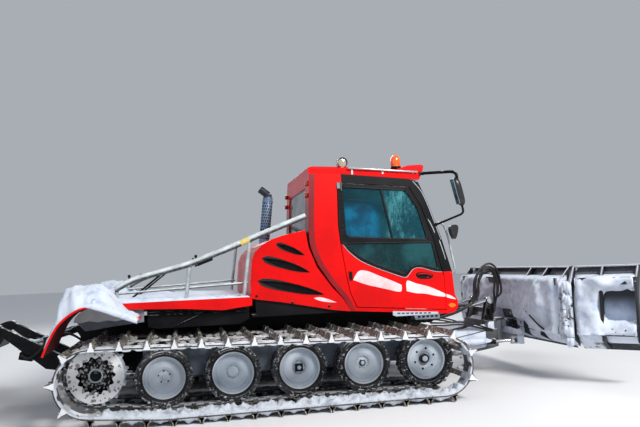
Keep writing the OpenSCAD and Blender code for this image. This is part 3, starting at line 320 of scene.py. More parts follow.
def make_cab_paint():
    """The cab's red, in painted shade on its rear wall, with the pillars round the windscreen and the
    strip over the doors in black.
    """
    s = Shader("cab_paint", 0.30)
    s.gloss(0.12, 0.25, 0.12)
    red = s.patchy(2.3, 0.35, 0.7, (0.74, 0.0005, 0.0005), (0.58, 0.0005, 0.0005))
    dark = s.patchy(5, 0.35, 0.7, (0.003, 0.003, 0.004), (0.007, 0.007, 0.009))
    # Painted shade: a darker red on the cab's rear wall, behind its rear edge
    red = s.mix(s.ramp(s.axis("X"), AXLE_X + 2.575, AXLE_X + 2.59), (0.24, 0.002, 0.002), red)
    front = s.math(
        "MULTIPLY",
        s.math("GREATER_THAN", s.axis("X"), AXLE_X + 3.02),
        s.math("GREATER_THAN", s.axis("Z"), 1.452),
    )
    s.colour(s.mix(front, red, dark))
    s.bump(s.noise(60, 6, 0.7), 0.03, 0.004)
    return s.material


def make_rail_steel():
    """Frosted tube, made pale on top by painted light and dark beneath by painted shade."""
    s = Shader("rail_steel", 0.35)
    above = s.patchy(7, 0.4, 0.6, (0.62, 0.68, 0.70), (0.44, 0.49, 0.51))
    painted_underside_shade = s.patchy(30, 0.4, 0.6, (0.030, 0.033, 0.036), (0.10, 0.105, 0.11))
    # Painted light and shade: the pale colour where the tube faces up, the dark one where it faces down
    s.colour(s.mix(s.ramp(s.facing("Z"), -0.45, 0.30), painted_underside_shade, above))
    s.bump(s.noise(60, 6, 0.7), 0.05, 0.004)
    return s.material


def make_stack_paint():
    """The exhaust's blue grey, burnt dark towards its mouth."""
    s = Shader("stack_paint", 0.45, 0.2)
    plain = s.patchy(6, 0.35, 0.7, (0.12, 0.21, 0.34), (0.20, 0.28, 0.40))
    burnt = s.patchy(9, 0.35, 0.7, (0.006, 0.010, 0.020), (0.025, 0.035, 0.055))
    s.colour(s.mix(s.ramp(s.axis("Z"), 2.56, 2.63), plain, burnt))
    return s.material


def make_marker_paint():
    """Amber turn signals low on the cab and darker red lamps high on its rear."""
    s = Shader("marker_paint", 0.2)
    s.gloss(None, 0.6)
    amber = s.patchy(9, 0.35, 0.7, (0.95, 0.17, 0.004), (0.85, 0.10, 0.004))
    deep = s.patchy(9, 0.35, 0.7, (0.50, 0.035, 0.004), (0.20, 0.008, 0.004))
    s.colour(s.mix(s.ramp(s.axis("Z"), 1.6, 1.8), amber, deep))
    return s.material


def make_hollow_sheet():
    """The bare sheet in a wing's hollow, dark above and brighter lower down."""
    s = Shader("hollow_sheet", 0.4, 0.3)
    tone = s.patchy(6, 0.35, 0.7, (0.26, 0.32, 0.44), (0.16, 0.21, 0.31))
    s.colour(s.mix(s.ramp(s.axis("Z"), 0.86, 1.10), tone, (0.006, 0.008, 0.014)))
    return s.material


# For each surface: its colour, its shade, its roughness, and what differs from weathered()'s
# usual values
SURFACES = {
    "red_paint": (
        (0.74, 0.0005, 0.0005), (0.58, 0.0005, 0.0005), 0.30,
        dict(snow=0.10, spray=0.4, bump=0.03, coat=0.25, film=0.01, shine=0.12),
    ),
    "black_paint": (
        (0.003, 0.003, 0.004), (0.009, 0.009, 0.011), 0.42,
        dict(snow=0.5, spray=0.35, film=0.005, shine=0.12),
    ),
    "engine_grey": ((0.05, 0.05, 0.055), (0.03, 0.03, 0.03), 0.6, dict(snow=0.1)),
    "beam_grey": ((0.10, 0.13, 0.18), (0.16, 0.20, 0.26), 0.5, dict(snow=0.6, spray=0.8)),
    "rim_grey": ((0.40, 0.47, 0.55), (0.48, 0.54, 0.61), 0.42, dict(snow=0.4, spray=0.25, film=0.2)),
    "track_belt": (
        (0.016, 0.015, 0.015), (0.04, 0.038, 0.036), 0.8,
        dict(snow=0.8, spray=1.0, bump=0.4),
    ),
    "tyre_rubber": (
        (0.008, 0.008, 0.009), (0.02, 0.021, 0.024), 0.6,
        dict(snow=0.6, spray=0.9, bump=0.4, film=0.04, specks=0.55, shine=0.25, speck_scale=22),
    ),
    "stack_steel": ((0.12, 0.21, 0.34), (0.20, 0.28, 0.40), 0.4, dict(metal=0.3, snow=0.1)),
    "seat_cloth": ((0.02, 0.02, 0.024), (0.04, 0.04, 0.045), 0.9, dict(snow=0, bump=0.5, grain=240)),
    "dash_plastic": ((0.05, 0.05, 0.055), (0.08, 0.08, 0.085), 0.6, dict(snow=0)),
    "mirror_plastic": ((0.010, 0.010, 0.012), (0.022, 0.022, 0.025), 0.30, dict(snow=0.1, shine=0.4)),
    "lamp_metal": ((0.50, 0.52, 0.55), (0.62, 0.63, 0.65), 0.3, dict(metal=0.8, snow=0.1)),
    "beacon_amber": ((0.95, 0.14, 0.004), (0.85, 0.08, 0.004), 0.2, dict(snow=0, coat=0.8, bump=0.02)),
    "rod_chrome": ((0.60, 0.61, 0.63), (0.50, 0.51, 0.54), 0.15, dict(metal=1.0, snow=0.1, bump=0.02)),
    "tine_steel": ((0.16, 0.16, 0.17), (0.08, 0.075, 0.07), 0.45, dict(metal=0.8, snow=0.6)),
    "finisher_plastic": ((0.012, 0.012, 0.014), (0.025, 0.025, 0.028), 0.6, dict(snow=0.7)),
    "worn_white": ((0.72, 0.74, 0.77), (0.58, 0.60, 0.63), 0.5, dict(snow=0.2, spray=0.2, film=0.0)),
    "push_paint": (
        (0.012, 0.012, 0.015), (0.03, 0.03, 0.035), 0.5,
        dict(snow=1.0, spray=0.9, film=0.25),
    ),
    "bright_ice": (
        (0.92, 0.93, 0.95), (0.74, 0.76, 0.79), 0.6,
        dict(snow=0, spray=0, film=0, bump=0.3, grain=25),
    ),
    "mud_grey": (
        (0.66, 0.66, 0.70), (0.40, 0.40, 0.43), 0.7,
        dict(snow=0.1, spray=0.1, film=0, grain=40),
    ),
    "panel_grey": ((0.15, 0.18, 0.22), (0.30, 0.33, 0.38), 0.5, dict(snow=0.3, spray=0.6, grain=130)),
    # A dark red of painted shade, for the undersides of the fenders
    "maroon": (
        (0.10, 0.006, 0.006), (0.05, 0.006, 0.008), 0.6,
        dict(snow=0, spray=0.6, film=0.05, shine=0.15),
    ),
    "mirror_face": (
        (0.70, 0.72, 0.75), (0.66, 0.68, 0.71), 0.05,
        dict(metal=1.0, snow=0, spray=0, bump=0, film=0),
    ),
    "white_flash": (
        (0.80, 0.74, 0.76), (0.78, 0.40, 0.42), 0.35,
        dict(snow=0, spray=0, coat=0.1, film=0, shine=0.3),
    ),
    # A dark red of painted shade, for the strip down the cab's rear edge
    "dark_red": (
        (0.16, 0.001, 0.004), (0.28, 0.001, 0.005), 0.35,
        dict(snow=0, spray=0, coat=0.1, film=0, shine=0.3),
    ),
    "pale_trim": ((0.45, 0.47, 0.52), (0.24, 0.25, 0.29), 0.5, dict(snow=0.5, spray=0.3)),
    "yellow_paint": ((0.80, 0.62, 0.06), (0.50, 0.42, 0.20), 0.5, dict(snow=0.2, spray=0)),
    "hose_rubber": (
        (0.012, 0.012, 0.013), (0.03, 0.03, 0.032), 0.45,
        dict(snow=0.1, spray=0.1, grain=160, film=0, shine=0.25),
    ),
    "seal_rubber": (
        (0.010, 0.010, 0.011), (0.02, 0.02, 0.022), 0.55,
        dict(snow=0, spray=0, film=0, shine=0.2),
    ),
    "clear_lens": ((0.42, 0.36, 0.27), (0.30, 0.27, 0.22), 0.12, dict(snow=0, spray=0, coat=0.6)),
}


def make_materials():
    """One material for each of the record's slots, and those that only the details use."""
    made = {
        name: weathered(name, colour, shade, rough, **settings)
        for name, (colour, shade, rough, settings) in SURFACES.items()
    }
    made.update({
        "blade_paint": make_blade_paint(),
        "rail_steel": make_rail_steel(),
        "cab_paint": make_cab_paint(),
        "stack_paint": make_stack_paint(),
        "marker_paint": make_marker_paint(),
        "hollow_sheet": make_hollow_sheet(),
        "bar_metal": make_bar_metal(),
        "snow": make_snow("snow", (0.60, 0.66, 0.76), (0.38, 0.45, 0.62)),
        "packed_snow": make_snow("packed_snow", (0.50, 0.54, 0.60), (0.22, 0.25, 0.30)),
        "dirty_snow": make_snow("dirty_snow", (0.34, 0.34, 0.34), (0.10, 0.09, 0.08)),
        "window_glass": make_glass(),
    })
    return made


MATERIALS = make_materials()
# Nodes painted otherwise than their slot says
OTHER_PAINT = {
    "marker_lamps": "marker_paint",
    "exhaust_stack": "stack_paint",
    "cab_body": "cab_paint",
    "push_frame": "push_paint",
    "blade_carrier": "pale_trim",
}


def soften(thing, width, angle=35):
    """Rounds the edges that are sharper than an angle in degrees."""
    bevel = thing.modifiers.new("bevel", "BEVEL")
    bevel.width = width
    bevel.segments = 2
    bevel.limit_method = "ANGLE"
    bevel.angle_limit = math.radians(angle)
    bevel.harden_normals = True


def dress_nodes():
    """Gives every CAD node its slot's material and soft edges."""
    for name, node in frame["nodes"].items():
        node.data.materials.clear()
        node.data.materials.append(MATERIALS[OTHER_PAINT.get(name, SLOT_OF[name])])
        weld = node.modifiers.new("weld", "WELD")
        weld.merge_threshold = 0.00005
        soften(node, 0.004)


# Building shapes


def unit(v):
    """A vector with its length made 1."""
    return v / v.length


def turns(count):
    """Angles spread evenly round a full turn."""
    return [2 * math.pi * k / count for k in range(count)]


def spoke(a, reach, y=0.0):
    """A step from a wheel's centre, out at an angle and across the machine."""
    return Vector((reach * math.cos(a), y, reach * math.sin(a)))


class Shape:
    """Gathers boxes, tubes and turned forms into one mesh and makes it a piece of the machine."""

    def __init__(self, mesh=None):
        self.mesh = mesh or bmesh.new()

    def box(self, low, high):
        corners = [
            Vector((x, y, z))
            for x in (low[0], high[0])
            for y in (low[1], high[1])
            for z in (low[2], high[2])
        ]
        self.hull_of_box(corners)

    def side_box(self, side, low, high, centre=Vector()):
        """A box whose corners are given for the left side, about a centre on this side."""
        y0, y1 = sorted((side * low[1], side * high[1]))
        self.box(centre + Vector((low[0], y0, low[2])), centre + Vector((high[0], y1, high[2])))

    def hull_of_box(self, corners):
        """A six-sided block from eight corners, ordered by x, then y, then z."""
        v = [self.mesh.verts.new(c) for c in corners]
        for face in (
            (0, 1, 3, 2), (4, 6, 7, 5), (0, 4, 5, 1), (2, 3, 7, 6), (0, 2, 6, 4), (1, 5, 7, 3),
        ):
            self.mesh.faces.new([v[i] for i in face])

    def loft(self, rings, closed=False):
        """Skin over rings of as many points each, capped at its ends unless it closes on itself."""
        rows = [[self.mesh.verts.new(p) for p in ring] for ring in rings]
        count = len(rows[0])
        pairs = list(zip(rows, rows[1:] + rows[:1])) if closed else list(zip(rows, rows[1:]))
        for a, b in pairs:
            for i in range(count):
                j = (i + 1) % count
                self.mesh.faces.new((a[i], a[j], b[j], b[i]))
        if not closed:
            self.mesh.faces.new(rows[0][::-1])
            self.mesh.faces.new(rows[-1])

    def tube(self, points, radius, sides=10):
        """A round tube along points; radius is a number or one number for each point."""
        points = [Vector(p) for p in points]
        radii = radius if isinstance(radius, (list, tuple)) else [radius] * len(points)
        rings = []
        across = None
        for i, p in enumerate(points):
            ahead = points[min(i + 1, len(points) - 1)]
            behind = points[max(i - 1, 0)]
            direction = unit(ahead - behind)
            if across is None:
                guide = Vector((0, 1, 0)) if abs(direction.y) < 0.9 else Vector((1, 0, 0))
                across = unit(guide - direction * guide.dot(direction))
            else:
                across = unit(across - direction * across.dot(direction))
            other = direction.cross(across)
            rings.append([
                p + radii[i] * (math.cos(a) * across + math.sin(a) * other)
                for a in turns(sides)
            ])
        self.loft(rings)

    def prism(self, outline, y0, y1):
        """A side view, drawn as x and z, extruded across the machine."""
        self.loft([[at(x, y, z) for x, z in outline] for y in (y0, y1)])

    def turned(self, profile, centre, side, steps=48, axis="y"):
        """A profile of radius and height turned about an axis; side is the way height goes."""
        rings = []
        for a in turns(steps):
            ring = []
            for r, h in profile:
                if axis == "y":
                    ring.append(centre + spoke(a, r, side * h))
                elif axis == "x":
                    ring.append(centre + Vector((side * h, r * math.cos(a), r * math.sin(a))))
                else:
                    ring.append(centre + Vector((r * math.cos(a), r * math.sin(a), side * h)))
            rings.append(ring)
        self.loft(rings, closed=True)

    def stud(self, heights, radii, centre, side, steps=48, axis="y"):
        """A closed boss between two heights, with a radius at each."""
        (low, high), (foot, top) = heights, radii
        self.turned([(0, low), (0, high), (top, high), (foot, low)], centre, side, steps, axis)

    def lump(self, centre, size, rng, rough=0.35):
        """A small uneven clod of ice or snow."""
        made = bmesh.ops.create_icosphere(self.mesh, subdivisions=1, radius=1)
        for v in made["verts"]:
            v.co = Vector([
                v.co[i] * size[i] * (1 + rough * (rng.random() - 0.5))
                for i in range(3)
            ]) + centre

    def piece(self, name, paint, body="chassis", slot=None, bevel=0.0, angle=35, smooth=True):
        """Ends the shape as an object that rides on a body, or on none where a blend follows.

        A slot is worked out from the paint when none is named, but it is not given to the piece.
        """
        bmesh.ops.remove_doubles(self.mesh, verts=self.mesh.verts, dist=1e-6)
        bmesh.ops.recalc_face_normals(self.mesh, faces=self.mesh.faces)
        data = bpy.data.meshes.new(name)
        self.mesh.to_mesh(data)
        self.mesh.free()
        if smooth:
            data.polygons.foreach_set("use_smooth", [True] * len(data.polygons))
            data.set_sharp_from_angle(angle=math.radians(angle))
        data.materials.append(MATERIALS[paint])
        thing = bpy.data.objects.new(name, data)
        bpy.context.scene.collection.objects.link(thing)
        if bevel:
            soften(thing, bevel, angle)
        if body:
            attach(thing, body)
        if slot is None and paint in SLOT_OF.values():
            slot = paint
        return thing


def rounded(points, rounds=2):
    """A closed outline with its corners cut again and again, so that it turns into a smooth curve."""
    for _ in range(rounds):
        points = [
            tuple(a * (1 - f) + b * f for a, b in zip(p, q))
            for p, q in zip(points, points[1:] + points[:1])
            for f in (0.25, 0.75)
        ]
    return points


def smooth_path(points, steps=6):
    """A curve through points, as a list of closer points."""
    pts = [Vector(p) for p in points]
    path = []
    for i in range(len(pts) - 1):
        p0, p1, p2, p3 = pts[max(i - 1, 0)], pts[i], pts[i + 1], pts[min(i + 2, len(pts) - 1)]
        for k in range(steps):
            t = k / steps
            path.append(0.5 * (
                2 * p1 + (p2 - p0) * t + (2 * p0 - 5 * p1 + 4 * p2 - p3) * t * t
                + (3 * p1 - p0 - 3 * p2 + p3) * t ** 3
            ))
    path.append(pts[-1])
    return path


# Tracks

TRACK_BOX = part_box("track_left")
TRACK_W = TRACK_BOX[1].y - TRACK_BOX[0].y
TRACK_Y = (TRACK_BOX[1].y + TRACK_BOX[0].y) / 2
TYRE_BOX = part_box("tyres")
TYRE_GAP = 0.0003
TYRE_R = (TYRE_BOX[1].z - TYRE_BOX[0].z) / 2 + TYRE_GAP
AXLE_Z = (TYRE_BOX[1].z + TYRE_BOX[0].z) / 2
FIRST_WHEEL_X = TYRE_BOX[0].x + TYRE_R - TYRE_GAP - AXLE_X
IDLER_X = TYRE_BOX[1].x - TYRE_R + TYRE_GAP - AXLE_X
WHEEL_XS = [FIRST_WHEEL_X + k * (IDLER_X - FIRST_WHEEL_X) / 4 for k in range(5)]
IDLER = len(WHEEL_XS) - 1
SPROCKET_Z = AXLE_Z + 0.078
SPROCKET_R = 0.343
BELT_T = 0.016
BAR_FOOT = 0.062
BAR_COUNT = 35
WINDOW_W = 0.4
BELT_ROW_Y = TRACK_W / 6 + 0.045
SPIKE_PROFILE = [
    (-0.052, 0.0), (-0.048, 0.012), (-0.030, 0.030), (-0.017, 0.0675),
    (0.017, 0.0675), (0.030, 0.030), (0.048, 0.012), (0.052, 0.0),
]
TIP_PROFILE = [
    (-0.036, -0.012), (-0.030, 0.010), (-0.016, 0.040), (-0.005, 0.0835),
    (0.005, 0.0835), (0.016, 0.040), (0.030, 0.010), (0.036, -0.012),
]
SCALLOP = [
    (-0.5, 0.0), (-0.47, -0.6), (-0.3, -0.95), (0.0, -1.0), (0.3, -0.95), (0.47, -0.6), (0.5, 0.0),
]
BELT_STEPS = 6
BELT_INSET = 0.004
BELT_EDGE = 0.003
LUG_L = 0.045
LUG_H = 0.03
LUG_W = 0.03
SPIKE_W = 0.030
FOOT_L = 0.085
STRIP_STEPS = 16
CLODS_ACROSS = 13
# Tips show where the loop turns away from its lower run by more than this cosine says
TIP_TURN = 0.75
TRACK_RNG = random.Random(4)


class Loop:
    """The closed line on which the belts lie on the wheels, by length from its start."""

    def __init__(self, wraps):
        self.parts = []
        count = len(wraps)
        angles = []
        for i, (x, z, r) in enumerate(wraps):
            nx, nz, nr = wraps[(i + 1) % count]
            span = math.hypot(nx - x, nz - z)
            angles.append(math.atan2(nz - z, nx - x) + math.asin((r - nr) / span))
        for i, (x, z, r) in enumerate(wraps):
            nx, nz, nr = wraps[(i + 1) % count]
            sweep = (angles[i] - angles[i - 1]) % (2 * math.pi)
            straight = math.sqrt((nx - x) ** 2 + (nz - z) ** 2 - (r - nr) ** 2)
            self.parts.append((x, z, r, angles[i - 1], sweep, straight))
        self.length = sum(r * sweep + straight for x, z, r, a, sweep, straight in self.parts)

    def at(self, s, out=0.0, step=0.0):
        """The point at a length as x, z and the angle of travel, raised by out, moved on by step."""
        s %= self.length
        for x, z, r, start, sweep, straight in self.parts:
            if s < r * sweep + straight:
                a = start + min(s / r, sweep)
                ahead = max(s - r * sweep, 0) + step
                px = x + (r + out) * math.sin(a) + ahead * math.cos(a)
                pz = z - (r + out) * math.cos(a) + ahead * math.sin(a)
                return px, pz, a
            s -= r * sweep + straight
        raise ValueError("past the loop's end")


LOOP = Loop([
    (FIRST_WHEEL_X, AXLE_Z, TYRE_R),
    (IDLER_X, AXLE_Z, TYRE_R),
    (0, SPROCKET_Z, SPROCKET_R),
])
PITCH = LOOP.length / BAR_COUNT
BAR_PROFILE = [
    (-0.031, 0.0), (-0.030, 0.016), (-0.016, 0.026), (-0.010, 0.050), (-0.002, 0.067),
    (0.002, 0.067), (0.010, 0.050), (0.016, 0.026), (0.030, 0.016), (0.031, 0.0),
]


def track_point(s, out, step, y):
    """A point of a track: by length along its loop, height over the wheels, a step ahead and its y."""
    x, z, _ = LOOP.at(s, out, step)
    return at(x, y, z)


def block_on_loop(shape, s, length, out, y, taper=0.0):
    """A block on the belts: its length along the loop, out and y each from low to high."""
    corners = []
    for end in (-1, 1):
        for yy in y:
            for k, o in enumerate(out):
                corners.append(track_point(s, o, end * (length / 2 - (taper if k else 0)), yy))
    shape.hull_of_box(corners)


def belt_spans(side):
    """Where a track's three belts lie across the machine, each from its inner edge to its outer."""
    edge = [side * (TRACK_Y - TRACK_W / 2), side * (TRACK_Y + TRACK_W / 2)]
    rows = [side * (TRACK_Y - BELT_ROW_Y), side * (TRACK_Y + BELT_ROW_Y)]
    half = side * WINDOW_W / 2
    return [(edge[0], rows[0] - half), (rows[0] + half, rows[1] - half), (rows[1] + half, edge[1])]


def make_belts(side, name):
    """Three flat belts with rounded edges, and two rows of lugs that guide the wheels."""
    belts = Shape()
    steps = BAR_COUNT * BELT_STEPS
    for y0, y1 in belt_spans(side):
        inset = BELT_INSET if y0 < y1 else -BELT_INSET
        rings = []
        for s in (LOOP.length * k / steps for k in range(steps)):
            section = [
                (0.0, y0), (BELT_T - BELT_EDGE, y0), (BELT_T, y0 + inset),
                (BELT_T, y1 - inset), (BELT_T - BELT_EDGE, y1), (0.0, y1),
            ]
            rings.append([track_point(s, out, 0, y) for out, y in section])
        belts.loft(rings, closed=True)
    for k in range(BAR_COUNT * 2):
        for y in (TRACK_Y - 0.16, TRACK_Y + 0.13):
            block_on_loop(belts, (k + 0.5) * PITCH / 2, LUG_L, (-LUG_H, 0.002),
                          (side * y, side * (y + LUG_W)), -0.01)
    belt = belts.piece(f"track_belts_{name}", "track_belt")
    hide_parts(f"track_{name}")


def make_bars(side, name):
    """Cross bars with spikes at the belts' edges, pointed tips at their ends and feet inside."""
    spans = belt_spans(side)
    edge = (spans[0][0], spans[-1][1])
    bars = Shape()
    tips = Shape()
    inside = Shape()
    for k in range(BAR_COUNT):
        s = (k + 0.5) * PITCH
        bars.loft([[track_point(s, BELT_T + q, p, y) for p, q in BAR_PROFILE] for y in edge])
        for i, y in enumerate([e for span in spans for e in span]):
            inward = side * (SPIKE_W if i % 2 == 0 else -SPIKE_W)
            if i in (0, 5) and math.cos(LOOP.at(s, 0, 0)[2]) < TIP_TURN:
                ends = (y + inward * 0.12, y - inward * 0.9)
                tips.loft([[track_point(s, q, p, yy) for p, q in TIP_PROFILE] for yy in ends])
            ends = (y, y + inward)
            bars.loft([
                [track_point(s, BELT_T + q, p * 0.85, yy) for p, q in SPIKE_PROFILE]
                for yy in ends
            ])
        for y0, y1 in spans:
            block_on_loop(
                inside, s, FOOT_L, (-0.007, 0.001), (y0 + side * 0.004, y1 - side * 0.004), 0.004,
            )
    bar = bars.piece(f"track_bars_{name}", "bar_metal", slot="track_belt", bevel=0.0015)
    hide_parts(f"track_{name}")
    tips.piece(f"track_tips_{name}", "worn_white", bevel=0.002)
    inside.piece(f"track_bar_feet_{name}", "packed_snow")


def make_edge_snow(side, name):
    """Scallops of snow between the bars, along the track's outer edge, and a ragged strip of it."""
    outer = belt_spans(side)[-1][1]
    rim = Shape()
    for k in range(BAR_COUNT * 2):
        s = (k + 0.5) * PITCH / 2
        length = PITCH / 2 - 0.03 - 0.02 * TRACK_RNG.random()
        depth = 0.018 + 0.010 * TRACK_RNG.random()
        rim.loft([
            [track_point(s, 0.002 + q * depth, p * length, y) for p, q in SCALLOP]
            for y in (outer - side * 0.07, outer - side * 0.004)
        ])
    steps = BAR_COUNT * STRIP_STEPS
    strip = []
    for k in range(steps):
        s = LOOP.length * k / steps
        spot = track_point(s, 0, 0, outer)
        low = -0.010 + 0.012 * wavy(spot, 14, 5)
        high = min(BELT_T + 0.001, BELT_T - 0.006 + 0.014 * wavy(spot, 19, 9))
        out = outer + side * min(0.0, -0.004 + 0.010 * wavy(spot, 23, 2))
        strip.append([
            track_point(s, low, 0, outer - side * 0.02), track_point(s, low + 0.003, 0, out),
            track_point(s, max(high, low + 0.006), 0, out),
            track_point(s, BELT_T - 0.002, 0, outer - side * 0.03),
        ])
    rim.loft(strip, closed=True)
    rim.piece(f"track_edge_snow_{name}", "packed_snow", angle=50)


def make_clods(side, name):
    """Clods of dirty snow in the belts' windows, fewer of them along the lower run."""
    clods = Shape()
    for k in range(BAR_COUNT):
        for across in range(CLODS_ACROSS):
            share = (across + TRACK_RNG.random() * 0.8) / (CLODS_ACROSS + 0.5)
            y = TRACK_Y - TRACK_W / 2 + 0.04 + (TRACK_W - 0.08) * share
            step = (TRACK_RNG.random() - 0.5) * (PITCH - BAR_FOOT)
            x, z, a = LOOP.at(k * PITCH, BELT_T, step)
            if math.cos(a) > 0.5 and TRACK_RNG.random() < 0.6:
                continue
            size = 0.012 + 0.022 * TRACK_RNG.random()
            clods.lump(at(x, side * y, z), (size * 1.5, size * 1.5, size * 0.9), TRACK_RNG, 0.5)
    clods.piece(f"track_clods_{name}", "dirty_snow", smooth=False)


def make_track(side, name):
    """A track's belts, cross bars and the snow packed on them."""
    make_belts(side, name)
    make_bars(side, name)
    make_edge_snow(side, name)
    make_clods(side, name)
    make_ridge(side, name)


# Where the snow inside a track starts along its loop, and how wide it and the snow beneath it are
RIDGE_START = -0.62
RIDGE_W = 0.22
UNDER_W = 0.30


def make_ridge(side, name):
    """Snow heaped inside the track's lower run, along its outer edge."""
    first = RIDGE_START
    last = LOOP.parts[0][2] * LOOP.parts[0][4] + LOOP.parts[0][5] + 0.25
    length = last - first

    def point(u, v):
        s = first + u * length
        y = side * (TRACK_Y + TRACK_W / 2 - 0.006 - v * RIDGE_W)
        foot = track_point(s, 0.003, 0, y)
        inward = track_point(s, -1, 0, y) - track_point(s, 0, 0, y)
        fade = edge_fade(u, v, 0.02, 0.3)
        high = 0.045 + 0.030 * wavy(foot, 3.5, 4) + 0.040 * wavy(foot, 13, 8)
        high += 0.024 * wavy(foot, 34, 8)
        return foot, foot + inward * (max(high, 0.004) * fade + 0.004)

    make_patch(f"track_ridge_{name}", "chassis", "packed_snow", point, (length, RIDGE_W), 0.015)

    def under(u, v):
        s = first + 0.25 + u * (length - 0.35)
        y = side * (TRACK_Y + TRACK_W / 2 - 0.004 - v * UNDER_W)
        foot = track_point(s, BELT_T - 0.003, 0, y)
        outward = track_point(s, 1, 0, y) - track_point(s, 0, 0, y)
        fade = edge_fade(u, v, 0.02, 0.05)
        phase = (s / PITCH) % 1
        arc = math.sin(math.pi * phase) ** 0.5
        high = 0.012 + 0.040 * (1 - arc) + 0.020 * wavy(foot, 9, 3) + 0.010 * wavy(foot, 35, 8)
        return foot, foot + outward * min(0.06, max(high, 0.0) * fade + 0.003)

    make_patch(
        f"track_under_snow_{name}", "chassis", "packed_snow", under, (length - 0.35, UNDER_W), 0.022,
    )


# Wheels

RIM_R = 0.24
TYRE_W = 0.25
# How many tread blocks go round a tyre, how tall they are and how much of its width they reach:
# for the idler and for the road wheels
TREAD_BLOCKS = {IDLER: (30, 0.030, 1.0)}
ROAD_TREAD = (44, 0.017, 0.93)


def make_tyres(side, name):
    """Treaded tyres in place of the plain ones."""
    tyres = Shape()
    half = TYRE_W / 2
    r = TYRE_R - 0.0005
    profile = [
        (RIM_R + 0.001, -half * 0.8), (0.252, -half * 0.96), (0.268, -half), (0.272, -half + 0.004),
        (0.276, -half), (0.292, -half * 0.98), (0.298, -half * 0.90), (r - 0.010, -half * 0.84),
        (r - 0.003, -half * 0.7),
    ]
    profile += [(reach, -y) for reach, y in reversed(profile)]
    for k, x in enumerate(WHEEL_XS):
        centre = at(x, side * TRACK_Y, AXLE_Z)
        tyres.turned(profile, centre, side, 72)
        blocks, tall, width = TREAD_BLOCKS.get(k, ROAD_TREAD)
        wide = math.pi / blocks * 0.55
        for a in turns(blocks):
            for face in (-1, 1):
                tyres.hull_of_box([
                    centre + spoke(turn, reach, y)
                    for reach in (r - tall - 0.004, r - 0.002)
                    for y in (face * half * 0.72, face * half * width)
                    for turn in (a - wide, a + wide)
                ])
    tyre = tyres.piece(f"tyres_{name}", "tyre_rubber")
    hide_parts("tyres")


# What is turned on every wheel's disc, as radius and height over the disc
DISC_RING = [(0.176, -0.002), (0.180, 0.006), (0.186, 0.006), (0.190, -0.002)]
DISC_GROOVE = [(0.2045, -0.004), (0.205, 0.0012), (0.2125, 0.0012), (0.213, -0.004)]
DISC_LIP = [(0.228, 0.02), (0.230, 0.060), (0.239, 0.062), (0.2395, 0.02)]
TYRE_BEAD = [(0.240, 0.02), (0.2405, 0.0765), (0.252, 0.0795), (0.266, 0.0845), (0.268, 0.06)]
CAP = [(0.0, -0.035), (0.0, 0.004), (0.020, 0.004), (0.026, -0.006), (0.026, -0.035)]
DISH = [(0.0, -0.035), (0.0, -0.006), (0.050, -0.008), (0.060, -0.016), (0.060, -0.035)]
NUT = [(0.0, 0.0), (0.0, 0.032), (0.022, 0.032), (0.026, 0.020), (0.026, 0.0)]
COLLAR = [(0.026, -0.03), (0.027, -0.004), (0.040, -0.004), (0.043, -0.03)]
IDLER_CAP = [(0.0, -0.032), (0.0, 0.040), (0.030, 0.040), (0.034, 0.034), (0.034, -0.032)]
IDLER_COLLAR = [(0.034, -0.032), (0.036, 0.022), (0.056, 0.022), (0.060, -0.032)]
# For each wheel from the rear: its hub's profile and steps, then those of a collar round it
HUBS = [(CAP, 32, None, 0), (DISH, 32, None, 0), (NUT, 6, None, 0), (CAP, 32, COLLAR, 6),
        (IDLER_CAP, 32, IDLER_COLLAR, 32)]
# For each wheel from the rear: how many holes it shows, how far out, how wide and at what height
HOLES = [(5, 0.066, 0.009, -0.024)] + [(8, 0.072, 0.005, -0.026)] * 3 + [(6, 0.125, 0.014, 0.0025)]
DISC_OUT = 0.042
# The wheel whose hub stands in a square block, and half the block's side
BLOCK_WHEEL = 2
BLOCK_HALF = 0.045


def make_wheel_trim(side, name):
    """Rings, lips, beads, hubs and bolts on the wheels' discs."""
    rings = Shape()
    bright = Shape()
    bead = Shape()
    dark = Shape()
    for k, (x, (hub, steps, collar, collar_steps)) in enumerate(zip(WHEEL_XS, HUBS)):
        centre = at(x, side * (TRACK_Y + DISC_OUT), AXLE_Z)
        rings.turned(DISC_RING, centre, side, 64)
        bright.turned(DISC_LIP, centre, side, 64)
        bead.turned(TYRE_BEAD, centre, side, 72)
        dark.turned(DISC_GROOVE, centre, side, 64)
        rings.turned(hub, centre, side, steps)
        if collar:
            dark.turned(collar, centre, side, collar_steps)
        if k == BLOCK_WHEEL:
            low = Vector((-BLOCK_HALF, -0.032, -BLOCK_HALF))
            dark.side_box(side, low, Vector((BLOCK_HALF, 0.018, BLOCK_HALF)), centre)
        holes, reach, size, depth = HOLES[k]
        for b in range(holes):
            spot = centre + spoke(2 * math.pi * (b + 0.3) / holes, reach)
            dark.stud((depth - 0.006, depth), (size, size), spot, side, 12)
    bright.piece(f"wheel_lips_{name}", "worn_white")
    bead.piece(f"tyre_beads_{name}", "seal_rubber")
    rings.piece(f"wheel_rings_{name}", "rim_grey")
    dark.piece(f"wheel_hubs_{name}", "black_paint")


SPROCKET_HUB = [
    (0.0, 0.092), (0.0, 0.136), (0.034, 0.136), (0.038, 0.130), (0.052, 0.130), (0.058, 0.112),
    (0.150, 0.1035), (0.1905, 0.0635), (0.252, 0.0635), (0.252, 0.056), (0.188, 0.056), (0.148, 0.092),
]
HUB_BOLT = [(0.0, -0.01), (0.0, 0.014), (0.009, 0.014), (0.012, 0.009), (0.012, -0.01)]
PALE_RING = [(0.062, 0.108), (0.064, 0.116), (0.078, 0.115), (0.080, 0.106)]
TEETH = 14
ICE_LUMPS = 150


